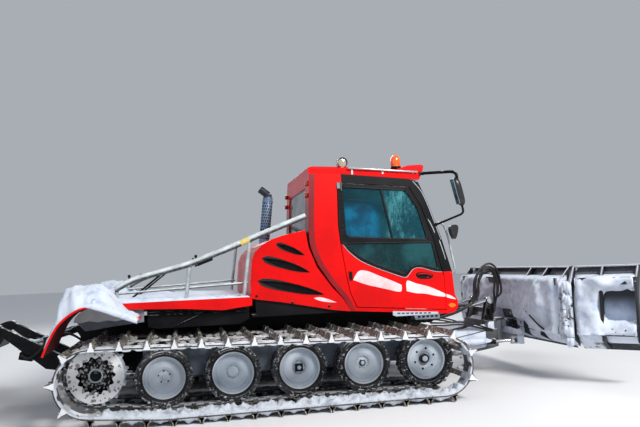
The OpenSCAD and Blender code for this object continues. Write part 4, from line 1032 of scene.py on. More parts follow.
def make_sprocket_trim(side, name):
    """A sprocket's bolted hub, its toothed ring and the ice frozen to it."""
    centre = at(0, side * TRACK_Y, SPROCKET_Z)
    hub = Shape()
    hub.turned(SPROCKET_HUB, centre, side, 64)
    for a in turns(14):
        hub.turned(HUB_BOLT, centre + spoke(a, 0.128, side * 0.103), side, 6)
    hub.piece(f"sprocket_hub_{name}", "black_paint")
    pale = Shape()
    pale.turned(PALE_RING, centre, side, 48)
    pale.piece(f"sprocket_hub_ring_{name}", "rim_grey")
    ring = Shape()
    rows = []
    for a in turns(TEETH * 8):
        inner = 0.198 + 0.016 * math.cos(TEETH * a) + 0.004 * math.sin(5 * a)
        outer = 0.3085 + 0.0025 * math.sin(31 * a)
        out = spoke(a, 1)
        rows.append([
            centre + out * reach + Vector((0, side * y, 0))
            for reach, y in ((inner, 0.1085), (inner, 0.114), (outer, 0.114), (outer, 0.1085))
        ])
    ring.loft(rows, closed=True)
    ring.piece(f"sprocket_ring_{name}", "bright_ice")
    ice = Shape()
    for _ in range(ICE_LUMPS):
        a = TRACK_RNG.random() * 2 * math.pi
        reach = 0.07 + 0.23 * TRACK_RNG.random()
        size = 0.006 + 0.014 * TRACK_RNG.random()
        face = 0.114 if reach > 0.195 else 0.106 if reach < 0.15 else 0.092
        ice.lump(centre + spoke(a, reach, side * face), (size, size * 0.5, size), TRACK_RNG, 0.5)
    ice.piece(f"sprocket_ice_{name}", "dirty_snow", smooth=False)


def make_wheels():
    """What the wheels wear on both sides."""
    for side, name in SIDES:
        make_tyres(side, name)
        make_wheel_trim(side, name)
        make_sprocket_trim(side, name)


# Snow

SNOW_STEP = 0.03


def wavy(point, scale, seed):
    """Smooth noise at a point, about -1 to 1."""
    return noise.fractal(point * scale + Vector((seed, seed * 0.7, 0)), 0.9, 2.1, 4)


def make_patch(name, body, paint, point, size, step=SNOW_STEP):
    """A lump of snow of a length and width: point(u, v) gives a foot and a top, u and v from 0 to 1."""
    nu = max(4, round(size[0] / step))
    nv = max(4, round(size[1] / step))
    mesh = bmesh.new()
    tops = []
    feet = []
    for i in range(nu + 1):
        row = [point(i / nu, j / nv) for j in range(nv + 1)]
        feet.append([mesh.verts.new(foot) for foot, top in row])
        tops.append([mesh.verts.new(top) for foot, top in row])
    for i in range(nu):
        for j in range(nv):
            mesh.faces.new((tops[i][j], tops[i + 1][j], tops[i + 1][j + 1], tops[i][j + 1]))
            mesh.faces.new((feet[i][j], feet[i][j + 1], feet[i + 1][j + 1], feet[i + 1][j]))
    rim = [(i, 0) for i in range(nu)] + [(nu, j) for j in range(nv)]
    rim += [(i, nv) for i in range(nu, 0, -1)] + [(0, j) for j in range(nv, 0, -1)]
    for (a, b), (c, d) in zip(rim, rim[1:] + rim[:1]):
        mesh.faces.new((feet[a][b], feet[c][d], tops[c][d], tops[a][b]))
    return Shape(mesh).piece(name, paint, body, angle=80)


def edge_fade(u, v, reach_u, reach_v):
    """1 in the middle of a patch, falling round to 0 at its edges."""
    near = min(u / reach_u, (1 - u) / reach_u, v / reach_v, (1 - v) / reach_v, 1)
    return math.sqrt(max(near, 0) * (2 - max(near, 0)))


def line_at(points, x):
    """The height of a broken line, given as x and z with x rising."""
    if x <= points[0][0]:
        return points[0][1]
    for (x0, z0), (x1, z1) in zip(points, points[1:]):
        if x <= x1:
            return z0 + (z1 - z0) * (x - x0) / (x1 - x0)
    return points[-1][1]


DECK_TOP = 1.25
FENDER_TOP = [
    (-0.385, 0.96), (-0.29, 1.12), (-0.14, 1.24), (0.02, 1.285), (0.23, 1.215), (0.50, 1.105),
]
MOUND = [
    (-0.385, 0.995), (-0.345, 1.075), (-0.325, 1.17), (-0.305, 1.34), (-0.25, 1.43), (-0.12, 1.48),
    (0.06, 1.475), (0.16, 1.42), (0.24, 1.31), (0.30, 1.235), (0.36, 1.185), (0.50, 1.12),
]


def snow_over(name, body, paint, x, y, ground, top, reach, seed, step=SNOW_STEP):
    """Snow lying on a surface: ground and top give heights for a place, and the edges thin out."""
    size = (x[1] - x[0], abs(y[1] - y[0]))

    def point(u, v):
        px = x[0] + u * size[0]
        py = y[0] + v * (y[1] - y[0])
        low = ground(px, py)
        here = at(px, py, low)
        fade = edge_fade(u, v, reach / size[0], reach / size[1])
        rise = max(top(px, py) - low, 0) * (1 + 0.22 * wavy(here, 5, seed))
        rise += 0.020 * wavy(here, 13, seed)
        rise = rise * fade + 0.004 * wavy(here, 45, seed) - 0.005 * (1 - fade)
        return here - Vector((0, 0, 0.004)), here + Vector((0, 0, max(rise, -0.003)))

    return make_patch(name, body, paint, point, size, step)


FENDER_SWEEP = [
    (-0.455, 0.800), (-0.385, 0.960), (-0.290, 1.120), (-0.140, 1.240), (0.020, 1.2845), (0.230, 1.215),
    (0.500, 1.105),
]
FENDER_INNER = 1.2525
FENDER_OUTER = 2.1285
FENDER_T = 0.0095
# How much of the sweep, from its rear, has a turned lip, and where the heaped snow on its edge starts
LIP_SHARE = 0.66
HEAP_START = 0.56


def make_fenders():
    """Fenders bent in one smooth sweep, in place of the plain ones."""
    outline = smooth_path([Vector((x, z, 0)) for x, z in FENDER_SWEEP], 8)
    fenders = Shape()
    lips = Shape()
    lining = Shape()
    for side, name in SIDES:
        rings = []
        lip = []
        linings = []
        for k, here in enumerate(outline):
            ahead = unit(outline[min(k + 1, len(outline) - 1)] - outline[max(k - 1, 0)])
            under = Vector((ahead.y, -ahead.x, 0))
            inner = here + under * FENDER_T
            inner.z = 0
            z = min(here.y, 1.2848)
            linings.append((here, under))
            rings.append([
                at(here.x, side * FENDER_INNER, z), at(here.x, side * 2.122, z),
                at(here.x + under.x * 0.002, side * FENDER_OUTER, z + under.y * 0.003),
                at(inner.x, side * FENDER_OUTER, inner.y), at(inner.x, side * FENDER_INNER, inner.y),
            ])
            lip.append([
                at(here.x + under.x * drop, side * y, z + under.y * drop)
                for drop, y in ((0.004, 2.110), (0.004, 2.1295), (0.022, 2.1295), (0.022, 2.122))
            ])
        fenders.loft(rings)
        lips.loft(lip[:round(len(lip) * LIP_SHARE)])
        lining.loft([
            [
                at(here.x + under.x * drop, side * y, here.y + under.y * drop)
                for drop, y in ((0.0105, 1.254), (0.0105, 2.120), (0.014, 2.120), (0.014, 1.254))
            ]
            for here, under in linings
        ])
        heaps = []
        first = round(len(outline) * HEAP_START)
        for here, under in linings[first:]:
            t = (here.x - linings[first][0].x) / (0.5 - linings[first][0].x)
            ring = []
            for a in turns(12):
                spot = at(here.x, side * 2.118, here.y + 0.004)
                thick = 0.012 + 0.020 * min(t * 3, 1) + 0.010 * wavy(spot, 12, 6)
                if t < 0.02:
                    thick *= 0.4
                ring.append(
                    spot + Vector((0, side * 0.016 * math.cos(a), max(thick, 0.006) * math.sin(a)))
                )
            heaps.append(ring)
        edge = Shape()
        edge.loft(heaps)
        edge.piece(f"fender_edge_snow_{name}", "snow", angle=80)
    thing = fenders.piece("fender_sweeps", "red_paint", angle=50)
    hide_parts("fenders")
    lips.piece("fender_lips", "red_paint", angle=50)
    # The linings under the fenders are red paint, drawn in a dark red that is painted shade
    lining.piece("fender_linings", "maroon", angle=50)


def make_mud_panels():
    """Plates caked with mud under the mudguards."""
    mud = Shape()
    for side in (LEFT, RIGHT):
        mud.prism([
            (-0.250, 1.075), (-0.235, 1.125), (-0.195, 1.175), (-0.12, 1.215), (0.0, 1.255),
            (0.08, 1.250), (0.20, 1.205), (0.32, 1.155), (0.37, 1.125), (0.385, 1.075), (0.30, 1.085),
            (0.22, 1.066), (0.12, 1.082), (0.02, 1.065), (-0.08, 1.085), (-0.17, 1.068),
        ], side * 1.3215, side * 1.330)
    mud.piece("mud_panels", "mud_grey", bevel=0.003)


def make_deck_snow():
    """Snow on the mudguards' rear faces, over them, along the deck's edges and thin on the deck."""
    for side, name in SIDES:
        def on_rear(u, v, side=side):
            z = 0.85 + u * 0.24
            x = line_at([(0.80, -0.455), (0.96, -0.385), (1.12, -0.290)], z)
            base = at(x - 0.001, side * (1.275 + 0.835 * v), z)
            out = unit(Vector((-0.9, 0, 0.44)))
            fade = edge_fade(u, v, 0.25, 0.03)
            if u > 0.5:
                fade = edge_fade(0.5, v, 0.25, 0.03)
            t = (0.018 + 0.012 * wavy(base, 5, 3) + 0.006 * wavy(base, 17, 3)) * (0.5 + u) * fade
            return base + out * -0.004, base + out * max(t, -0.003)

        make_patch(f"fender_rear_snow_{name}", "chassis", "snow", on_rear, (0.28, 0.84), 0.025)
    for side, name in SIDES:
        def mound(x, y):
            out = min(max((abs(y) - 0.9) / 0.35, 0), 1)
            near = min(1, max(0.0, 2.07 - abs(y) + 0.05 * wavy(Vector((x, y, 0)), 6, 2)) / 0.20)
            base = line_at(FENDER_TOP, x) if abs(y) > 1.25 else DECK_TOP
            return base + (line_at(MOUND, x) - base) * out * math.sqrt(near * (2 - near))

        snow_over(f"fender_snow_{name}", "chassis", "snow", (-0.38, 0.48), (side * 1.255, side * 2.118),
                  lambda x, y: line_at(FENDER_TOP, x), mound, 0.025, 3 + side, 0.02)

        def along_edge(x, y):
            return max(
                mound(x, y) if x < 0.5 else 0,
                DECK_TOP + line_at([(0.3, 0.075), (0.6, 0.055), (1.2, 0.035), (1.7, 0.022)], x),
            )

        snow_over(
            f"deck_edge_snow_{name}", "chassis", "snow", (-0.325, 1.77), (side * 1.05, side * 1.245),
            lambda x, y: DECK_TOP if abs(y) < 1.208 else 1.262, along_edge, 0.03, 7 + side,
        )

    def on_deck(x, y):
        thin = max(0.028 + 0.02 * wavy(Vector((x, y, 0)), 2.5, 9), 0.016)
        return DECK_TOP + thin + 0.07 * max(0, min(1, (-0.05 - x) / 0.2))

    snow_over("deck_snow", "chassis", "snow", (-0.32, 1.77), (-1.07, 1.07),
              lambda x, y: DECK_TOP, on_deck, 0.05, 12, 0.045)


# Deck, hood and stack


def bent(points, reach, steps=5):
    """A line through points whose inner corners are rounded over a reach."""
    pts = [Vector(p) for p in points]
    path = [pts[0]]
    for a, b, c in zip(pts, pts[1:], pts[2:]):
        start = b + unit(a - b) * min(reach, (a - b).length * 0.45)
        end = b + unit(c - b) * min(reach, (c - b).length * 0.45)
        for k in range(steps + 1):
            t = k / steps
            path.append((1 - t) ** 2 * start + 2 * t * (1 - t) * b + t * t * end)
    path.append(pts[-1])
    return path


RAIL_Y = 1.15
RAIL_R = 0.036
HANDRAIL = [(0.19, 1.42), (0.40, 1.53), (1.04, 1.68), (1.55, 1.86), (1.85, 1.98), (2.50, 2.223)]
LOW_RAIL = [(0.18, 1.37), (1.08, 1.404), (1.76, 1.43)]
# Each post's foot, its head and where it meets the low rail
POSTS = [
    ((1.010, 1.256), (1.070, 1.688), (1.030, 1.402)),
    ((1.700, 1.256), (1.800, 1.960), (1.722, 1.428)),
    ((0.215, 1.256), (0.215, 1.433), (0.215, 1.371)),
]


def make_rails():
    """Round bent tubes in place of the plain rails, with clamps, knobs and a worn yellow band."""
    y = RAIL_Y
    low_y = y - 0.045
    rails = Shape()
    clamps = Shape()
    yellow = Shape()
    for side in (LEFT, RIGHT):
        rails.tube(bent([at(x, side * y, z) for x, z in HANDRAIL], 0.12), RAIL_R, 20)
        rails.tube([at(x, side * low_y, z) for x, z in LOW_RAIL], 0.014, 12)
        for foot, head, cross in POSTS:
            rails.tube([at(foot[0], side * y, foot[1]), at(head[0], side * y, head[1])], 0.022, 14)
            rails.box(
                at(foot[0] - 0.043, side * y - 0.043, 1.2515),
                at(foot[0] + 0.043, side * y + 0.043, 1.2595),
            )
            rails.tube(
                [at(cross[0], side * low_y, cross[1]), at(cross[0], side * y, cross[1])], 0.010, 8,
            )
            direction = unit(at(head[0], 0, head[1]) - at(foot[0], 0, foot[1]))
            top = at(head[0], side * y, head[1])
            clamps.tube([top - direction * 0.040, top - direction * 0.030], 0.0235, 14)
            for dx in (-0.032, 0.032):
                for dy in (-0.032, 0.032):
                    spot = at(foot[0] + dx, side * y + dy, 1.2595)
                    clamps.stud((-0.002, 0.006), (0.007, 0.006), spot, 1, 6, "z")
        for x, z in ((1.14, 1.745), (0.36, 1.540)):
            clamps.turned(
                [(0, 0), (0, 0.05), (0.012, 0.05), (0.02, 0.03), (0.012, 0.018), (0.008, 0.0)],
                at(x, side * y, z), 1, 16, "z",
            )
        clamps.tube([at(0.30, side * 1.0, 1.252), at(0.72, side * 1.08, 1.575)], 0.012, 8)
        clamps.hull_of_box([
            at(x, side * (y + w), z + h)
            for x, z in ((1.16, 1.722), (1.34, 1.786))
            for w in (-0.02, 0.02)
            for h in (-0.066, -0.032)
        ])
        yellow.tube([at(1.68, side * y, 1.912), at(1.79, side * y, 1.956)], RAIL_R + 0.0008, 20)
    thing = rails.piece("rail_tubes", "rail_steel")
    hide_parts("deck_rails")
    clamps.piece("rail_clamps", "black_paint")
    yellow.piece("rail_band", "yellow_paint")


STACK_FOOT = at(2.13, 0.3, 1.9)
STACK_LEAN = Matrix.Rotation(math.radians(7), 4, "Y")
STACK_R = 0.0725
SLOT_ROWS = 13
SLOTS_ROUND = 14


def make_stack():
    """Slots in the exhaust's shield, and the two bands that clamp it."""
    slots = Shape()
    bands = Shape()
    up = Vector((0, 0, 1))
    for row in range(SLOT_ROWS):
        for k in range(SLOTS_ROUND):
            a = 2 * math.pi * (k + 0.5 * (row % 2)) / SLOTS_ROUND
            across = Vector((-math.sin(a), math.cos(a), 0))
            outward = Vector((math.cos(a), math.sin(a), 0))
            spot = outward * STACK_R + up * (0.12 + row * 0.042)
            slots.hull_of_box([
                STACK_FOOT + STACK_LEAN @ (spot + outward * o + across * s + up * h)
                for o in (-0.002, 0.0006) for s in (-0.008, 0.008) for h in (-0.013, 0.013)
            ])
    for z in (0.09, 0.655):
        rings = []
        for a in turns(40):
            outward = Vector((math.cos(a), math.sin(a), 0))
            rings.append([
                STACK_FOOT + STACK_LEAN @ (outward * r + up * (z + h))
                for r, h in ((0.071, -0.012), (0.077, -0.010), (0.077, 0.010), (0.071, 0.012))
            ])
        bands.loft(rings, closed=True)
    slots.piece("stack_slots", "black_paint", smooth=False)
    bands.piece("stack_bands", "stack_steel")


HOOD_Y = 1.10
VENTS = [
    ((2.13, 1.89), (2.47, 1.74), 0.070), ((1.95, 1.72), (2.53, 1.525), 0.092),
    ((1.89, 1.44), (2.70, 1.24), 0.104),
]


def on_hood(side, p, lift):
    """A point of a side view on a side of the hood, lifted out from its face."""
    return at(p.x, side * (HOOD_Y + lift), p.y)


def lens_points(a, b, w, steps=14):
    """The outline of a lens between two points, as wide as w in its middle."""
    a, b = Vector(a), Vector(b)
    along = b - a
    half = along.length / 2
    along = unit(along)
    up = Vector((-along.y, along.x))
    r = (half * half + w * w / 4) / w
    reach = math.asin(half / r)
    middle = (a + b) / 2
    points = []
    for sign in (1, -1):
        for k in range(steps):
            t = sign * (-reach + 2 * reach * k / steps)
            points.append(
                middle + along * r * math.sin(t) + up * sign * (r * math.cos(t) - (r - w / 2))
            )
    return points


def teardrop_edge(a, b, w, q):
    """The point of a black teardrop, round at the rear and thin in front, beside a lens point."""
    a, b = Vector(a), Vector(b)
    along = unit(b - a)
    up = Vector((-along.y, along.x))
    length = (b - a).length
    share = min(max((q - a).dot(along) / length, 0.0), 1.0)
    over = (q - a).dot(up)
    full = w * 0.60 * math.sin(math.pi * share ** 0.6) ** 0.75 if 0 < share < 1 else 0
    high = max(full, abs(over) + 0.004)
    stretch = a + along * (length * (share * 1.03 - 0.02))
    return stretch + up * (high if over > 0 else -high if over < 0 else 0)


def make_hood_trim():
    """Lips and frames round the hood's vents, the louvres behind them and the latches; the black frames
    are partly painted shade of the vents' openings.
    """
    lips = Shape()
    frames = Shape()
    louvres = Shape()
    latches = Shape()
    for side in (LEFT, RIGHT):
        for a, b, w in VENTS:
            outer = lens_points(a, b, w + 0.022)
            inner = lens_points(a, b, w)
            rings = []
            frame_rings = []
            for p, q in zip(outer, inner):
                drop = teardrop_edge(a, b, w, q)
                out = drop + (p - q) * 0.8
                rings.append([
                    on_hood(side, out, -0.002), on_hood(side, (out + drop) * 0.5, 0.005),
                    on_hood(side, drop, 0.002), on_hood(side, drop, -0.002),
                ])
                frame_rings.append([
                    on_hood(side, drop, -0.001), on_hood(side, drop, 0.0012),
                    on_hood(side, q, 0.0012), on_hood(side, q, -0.012),
                ])
            lips.loft(rings, closed=True)
            frames.loft(frame_rings, closed=True)
            start, end = Vector(a), Vector(b)
            direction = unit(end - start)
            up = Vector((-direction.y, direction.x))
            for k in range(1, 3):
                offset = up * (k / 3 - 0.5) * w * 0.8
                p = start + offset + direction * w * 0.9
                q = end + offset - direction * w * 0.9
                louvres.hull_of_box([
                    at(e.x, side * y, e.y + dz)
                    for e in (p, q)
                    for y in (1.062, 1.072)
                    for dz in (-0.002, 0.002)
                ])
        for x, z in ((1.86, 1.26), (2.30, 1.16), (2.76, 1.09)):
            latches.stud((-0.002, 0.006), (0.018, 0.014), at(x, side * HOOD_Y, z), side, 16)
    lips.piece("vent_lips", "red_paint", angle=60)
    # The frames are black rubber, and their teardrop spread beyond the vents also stands for the shade in
    # the vents' openings
    frames.piece("vent_frames", "seal_rubber", slot="black_paint", angle=60)
    louvres.piece("vent_louvres", "black_paint")
    latches.piece("hood_latches", "black_paint")


# Cab


CAB_HALF = 1.05
CAB_SILL = 0.93
CAB_LEAN = math.radians(3)


def side_y(z):
    """How far the cab's outer face lies from the middle at a height."""
    return CAB_HALF - (z - CAB_SILL) * math.tan(CAB_LEAN)


def on_cab(side, x, z, lift=0.0):
    """A point on a side of the cab, lifted out from its face."""
    return at(x, side * (side_y(z) + lift), z)


def side_plate(shape, outline, side, low, high):
    """A plate on the cab's leaning side, from low to high over its face."""
    shape.loft([[on_cab(side, x, z, h) for x, z in outline] for h in (low, high)])


def flash(upper, lower):
    """The outline of a white flash: its upper edge from tip to tip and its lower edge back."""
    there = smooth_path([Vector((x, 0, z)) for x, z in upper], 6)
    back = smooth_path([Vector((x, 0, z)) for x, z in lower], 6)
    return [(p.x, p.z) for p in there + back[1:-1]]


WINDOW_CURVE = [
    (3.000, 1.850), (3.070, 1.760), (3.210, 1.640), (3.390, 1.550), (3.590, 1.470), (3.790, 1.400),
    (3.850, 1.440), (3.910, 1.500), (4.010, 1.515), (4.200, 1.460), (4.300, 1.450),
]
CAB_REAR = [
    (2.602, 2.775), (2.562, 2.04), (2.582, 1.82), (2.662, 1.61), (2.802, 1.39), (2.972, 1.17),
    (3.05, 1.015),
]


def make_flashes(side, name):
    """White flashes on a door and on the body before and behind it."""
    door = f"door_{name}"
    shape = Shape()
    side_plate(shape, flash(
        [(3.10, 1.40), (3.18, 1.505), (3.29, 1.505), (3.45, 1.435), (3.60, 1.372), (3.74, 1.305)],
        [(3.74, 1.305), (3.72, 1.222), (3.58, 1.250), (3.45, 1.285), (3.28, 1.330), (3.10, 1.40)],
    ), side, -0.0005, 0.0014)
    side_plate(shape, flash(
        [(3.800, 1.225), (3.815, 1.355), (3.93, 1.318), (4.08, 1.275), (4.20, 1.225), (4.318, 1.165)],
        [(4.318, 1.165), (4.318, 1.128), (4.20, 1.142), (4.05, 1.178), (3.92, 1.192), (3.800, 1.225)],
    ), side, -0.0005, 0.0014)
    shape.piece(f"door_flash_{name}", "white_flash", door)
    shape = Shape()
    side_plate(shape, [
        (4.337, 1.160), (4.40, 1.135), (4.452, 1.100), (4.462, 1.085), (4.40, 1.097), (4.337, 1.118),
    ], side, -0.0005, 0.0014)
    outline = flash([(2.57, 1.20), (2.65, 1.207), (2.76, 1.175), (2.86, 1.132)],
                    [(2.86, 1.132), (2.76, 1.140), (2.64, 1.165), (2.57, 1.20)])
    shape.loft([[at(x, side * (HOOD_Y + h), z) for x, z in outline] for h in (-0.0005, 0.0014)])
    shape.piece(f"body_flash_{name}", "white_flash")


def make_rear_edge(side, name):
    """The dark red strip of painted shade down the cab's rear edge."""
    rear = Shape()
    inner = [(x + 0.075, z) for x, z in CAB_REAR]
    inner[-1] = (3.105, 1.013)
    inner[-2] = (3.035, 1.185)
    outer_path = smooth_path([Vector((x, 0, z)) for x, z in CAB_REAR], 4)
    inner_path = smooth_path([Vector((x, 0, z)) for x, z in inner], 4)
    rear.loft([
        [
            on_cab(side, p.x, p.z, -0.003), at(p.x + 0.002, side * (side_y(p.z) + 0.0012), p.z),
            on_cab(side, q.x, q.z, 0.0012), on_cab(side, q.x, q.z, -0.003),
        ]
        for p, q in zip(outer_path, inner_path)
    ])
    rear.piece(f"cab_rear_edge_shade_{name}", "dark_red", slot="red_paint")


def make_door_fittings(side, name):
    """A door's painted highlight, a pale line along its window's lower curve, and its hinges and handle.
    """
    door = f"door_{name}"
    # Painted highlight: a thin pale tube along the window's curve stands for light caught on the panel's
    # edge
    edge_highlight = Shape()
    curve = smooth_path([on_cab(side, x, z, 0.001) for x, z in WINDOW_CURVE], 4)
    edge_highlight.tube(curve, 0.004, 8)
    edge_highlight.piece(f"door_edge_highlight_{name}", "pale_trim", door)

    black = Shape()
    for x, z in ((2.985 + 0.02 * k / 9, 2.56 - 0.058 * k) for k in range(12)):
        side_plate(black, [
            (x, z), (x + 0.022, z + 0.004), (x + 0.022, z - 0.026), (x, z - 0.022),
        ], side, 0.0, 0.006)
    side_plate(black, [(3.055, 1.51), (3.09, 1.505), (3.095, 1.40), (3.06, 1.405)], side, 0.0, 0.022)
    black.piece(f"door_hinges_{name}", "black_paint", door, bevel=0.0015)

    steel = Shape()
    side_plate(steel, [(2.955, 2.655), (3.0, 2.652), (3.0, 2.575), (2.955, 2.578)], side, 0.0, 0.018)
    steel.tube(
        [at(3.012, side * (side_y(2.6) + 0.012), 2.55), at(3.012, side * (side_y(2.6) + 0.012), 2.66)],
        0.011, 12,
    )
    steel.piece(f"upper_hinge_{name}", "tine_steel", door, bevel=0.002)

    handle = Shape()
    outline = rounded(
        [(3.93, 1.455), (4.05, 1.462), (4.185, 1.425), (4.16, 1.365), (4.02, 1.365), (3.95, 1.385)], 2,
    )
    side_plate(handle, outline, side, -0.0005, 0.0012)
    handle.piece(f"handle_recess_{name}", "black_paint", door)
    grip = Shape()
    path = smooth_path([
        on_cab(side, x, z, h)
        for x, z, h in (
            (3.965, 1.43, 0.0), (3.985, 1.435, 0.022), (4.06, 1.438, 0.028), (4.13, 1.42, 0.022),
            (4.15, 1.412, 0.0),
        )
    ], 5)
    grip.tube(path, 0.008, 10)
    grip.stud((-0.002, 0.004), (0.011, 0.009), at(4.10, side * side_y(1.39), 1.39), side, 16)
    grip.piece(f"door_handle_{name}", "red_paint", door)


def make_window_seals(side, name):
    """Seals round a door's two panes and the bar between its sliding halves."""
    door = f"door_{name}"
    frame_seal = Shape()
    upper = [(3.05, 1.945), (3.03, 2.60), (3.88, 2.54), (4.03, 2.30), (4.14, 1.88)]
    path = bent([on_cab(side, x, z, -0.006) for x, z in upper + upper[:2]], 0.06)
    frame_seal.tube(path[3:-2], 0.009, 8)
    lower = [(x, z + 0.046) for x, z in WINDOW_CURVE[:6]] + [
        (3.875, 1.515), (3.98, 1.56), (4.20, 1.505), (4.255, 1.50), (4.195, 1.845), (3.0, 1.87),
    ]
    path = [on_cab(side, x, z, -0.006) for x, z in lower]
    frame_seal.tube(bent(path + path[:2], 0.03), 0.008, 8)
    divider = [
        at(3.545, side * (side_y(2.57) - 0.012), 2.57), at(3.665, side * (side_y(1.9) - 0.012), 1.90),
    ]
    frame_seal.tube(divider, 0.013, 8)
    frame_seal.piece(f"window_seals_{name}", "seal_rubber", door, "black_paint")


def make_grab_rods(side, name):
    """Grab rods along the front pillar."""
    rods = Shape()
    for points in (
        [(4.155, 2.155, 0.012), (4.20, 2.06, 0.02), (4.245, 1.945, 0.012)],
        [(4.29, 1.88, 0.012), (4.33, 1.73, 0.02), (4.365, 1.59, 0.012)],
    ):
        rods.tube(
            smooth_path([at(x, side * (side_y(z) - 0.02 + h), z) for x, z, h in points], 5), 0.0075, 8,
        )
    rods.tube(smooth_path([at(x, side * y, z) for x, y, z in (
        (4.29, 0.985, 2.10), (4.36, 1.005, 2.06), (4.41, 1.015, 1.90), (4.45, 1.02, 1.66),
        (4.475, 1.03, 1.48), (4.455, 1.02, 1.42),
    )], 6), 0.0125, 10)
    rods.piece(f"grab_rods_{name}", "rail_steel")


def make_mirrors(side, name):
    """A painted highlight along the front pillar, as a pale line, and a side's mirrors on their arms."""
    arms = Shape()
    arms.tube(bent([
        at(4.115, side * 0.945, 2.757), at(4.475, side * 1.262, 2.735), at(4.485, side * 1.2625, 2.60),
    ], 0.09), 0.020, 12)
    arms.tube(bent([
        at(4.53, side * 1.262, 2.29), at(4.548, side * 1.264, 2.192), at(4.262, side * 1.004, 2.068),
    ], 0.06), 0.0145, 10)
    arms.piece(f"mirror_arms_{name}", "black_paint")
    # Painted highlight: a thin pale tube along the front pillar's edge stands for light caught there
    line = Shape()
    line.tube(smooth_path([on_cab(side, x, z, 0.001) for x, z in (
        (3.985, 2.655), (4.09, 2.52), (4.165, 2.345), (4.245, 2.10), (4.318, 1.87),
    )], 4), 0.005, 8)
    line.piece(f"pillar_highlight_{name}", "pale_trim")

    mirror = Shape()
    mirror.tube([at(4.435, side * 1.02, 1.95), at(4.43, side * 1.08, 2.0)], 0.008, 8)
    mirror.prism(rounded([(4.385, 2.04), (4.47, 2.06), (4.52, 2.03), (4.475, 1.865), (4.435, 1.87)], 2),
                 side * 1.06, side * 1.15)
    mirror.side_box(side, at(4.09, 0.931, 2.735), at(4.15, 0.95, 2.78))
    mirror.turned([(0, -0.012), (0, 0.014), (0.018, 0.014), (0.024, 0.004), (0.024, -0.012)],
                  at(4.262, side * 0.992, 2.07), side, 24)
    low = (4.530, 2.285)
    high = (4.452, 2.655)
    rings = []
    for k in range(13):
        t = k / 12
        x = low[0] + (high[0] - low[0]) * t
        z = low[1] + (high[1] - low[1]) * t
        fat = (1 - abs(2 * t - 1) ** 5) ** 0.5 if 0 < k < 12 else 0.25
        ring = []
        for a in turns(24):
            c, d = (math.copysign(abs(part) ** 0.6, part) for part in (math.cos(a), math.sin(a)))
            ring.append(at(x + 0.050 * fat * c, side * (1.260 + 0.068 * fat * d), z))
        rings.append(ring)
    mirror.loft(rings)
    thing = mirror.piece(f"mirror_housings_{name}", "mirror_plastic", angle=50)
    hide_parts("mirrors")
    glass = Shape()
    glass.hull_of_box([
        at(x, side * y, z) for x, y, z in (
            (4.478, 1.205, 2.31), (4.404, 1.205, 2.63), (4.478, 1.315, 2.31), (4.404, 1.315, 2.63),
            (4.490, 1.205, 2.31), (4.416, 1.205, 2.63), (4.490, 1.315, 2.31), (4.416, 1.315, 2.63),
        )
    ])
    glass.piece(f"mirror_glass_{name}", "mirror_face")


def make_cab_trim():
    """Everything that is fixed to the cab's sides and doors."""
    for side, name in SIDES:
        make_flashes(side, name)
        make_rear_edge(side, name)
        make_door_fittings(side, name)
        make_window_seals(side, name)
        make_grab_rods(side, name)
        make_mirrors(side, name)


def make_wipers():
    """The windscreen's wipers."""
    slope = [(4.17, 2.37), (4.32, 1.91), (4.44, 1.44)]

    def on_screen(y, z, lift):
        for (x0, z0), (x1, z1) in zip(slope, slope[1:]):
            if z >= z1:
                break
        t = (z - z0) / (z1 - z0)
        normal = unit(Vector((z0 - z1, 0, x1 - x0)))
        return at(x0 + t * (x1 - x0), y, z) + normal * lift

    wipers = Shape()
    for y in (-0.42, 0.38):
        wipers.tube(
            [
                on_screen(y, 1.47, 0.03), on_screen(y + 0.10, 1.72, 0.03),
                on_screen(y + 0.16, 1.95, 0.012),
            ],
            0.008, 8,
        )
        wipers.tube(
            [
                on_screen(y - 0.06, 1.62, 0.004), on_screen(y + 0.16, 1.95, 0.004),
                on_screen(y + 0.34, 2.28, 0.004),
            ],
            0.008, 6,
        )
        wipers.stud((-0.02, 0.02), (0.022, 0.018), on_screen(y, 1.47, 0.02), 1, 16, "x")
    wipers.piece("wipers", "black_paint")


# The place of the work lamps on the roof
LAMP_X, LAMP_Y, LAMP_Z = 3.07, 0.80, 2.93


def make_lamps():
    """Lenses of the roof's work lamps, which face ahead, behind and aside, and rims round them."""
    lens = Shape()
    rims = Shape()
    for side in (LEFT, RIGHT):
        r = 0.055
        for way in (1, -1):
            spot = at(LAMP_X + way * 0.045, side * LAMP_Y, LAMP_Z)
            rims.turned(
                [(r - 0.012, -0.004), (r - 0.012, 0.010), (r - 0.003, 0.010), (r, 0.0), (r, -0.004)],
                spot, way, 40, "x",
            )
            lens.turned(
                [
                    (0.0, -0.002), (0.0, 0.009), (r * 0.45, 0.007), (r - 0.013, 0.002),
                    (r - 0.013, -0.002),
                ],
                spot, way, 40, "x",
            )
        spot = at(LAMP_X, side * LAMP_Y, LAMP_Z)
        rims.turned(
            [
                (0.0, -0.05), (0.030, -0.05), (0.056, -0.015), (0.064, 0.03), (0.066, 0.068),
                (0.059, 0.070), (0.057, 0.058), (0.0, 0.056),
            ],
            spot, side, 48,
        )
        lens.turned(
            [(0.0, 0.050), (0.0, 0.068), (0.030, 0.066), (0.056, 0.060), (0.056, 0.050)],
            spot, side, 48,
        )
    lens.piece("lamp_lenses", "clear_lens")
    hoods = Shape()
    for side in (LEFT, RIGHT):
        hoods.turned(
            [(0.0575, 0.060), (0.0665, 0.060), (0.0670, 0.078), (0.0600, 0.078)],
            at(LAMP_X, side * LAMP_Y, LAMP_Z), side, 48,
        )
    hoods.piece("lamp_hoods", "black_paint")
    rims.piece("lamp_rims", "lamp_metal")


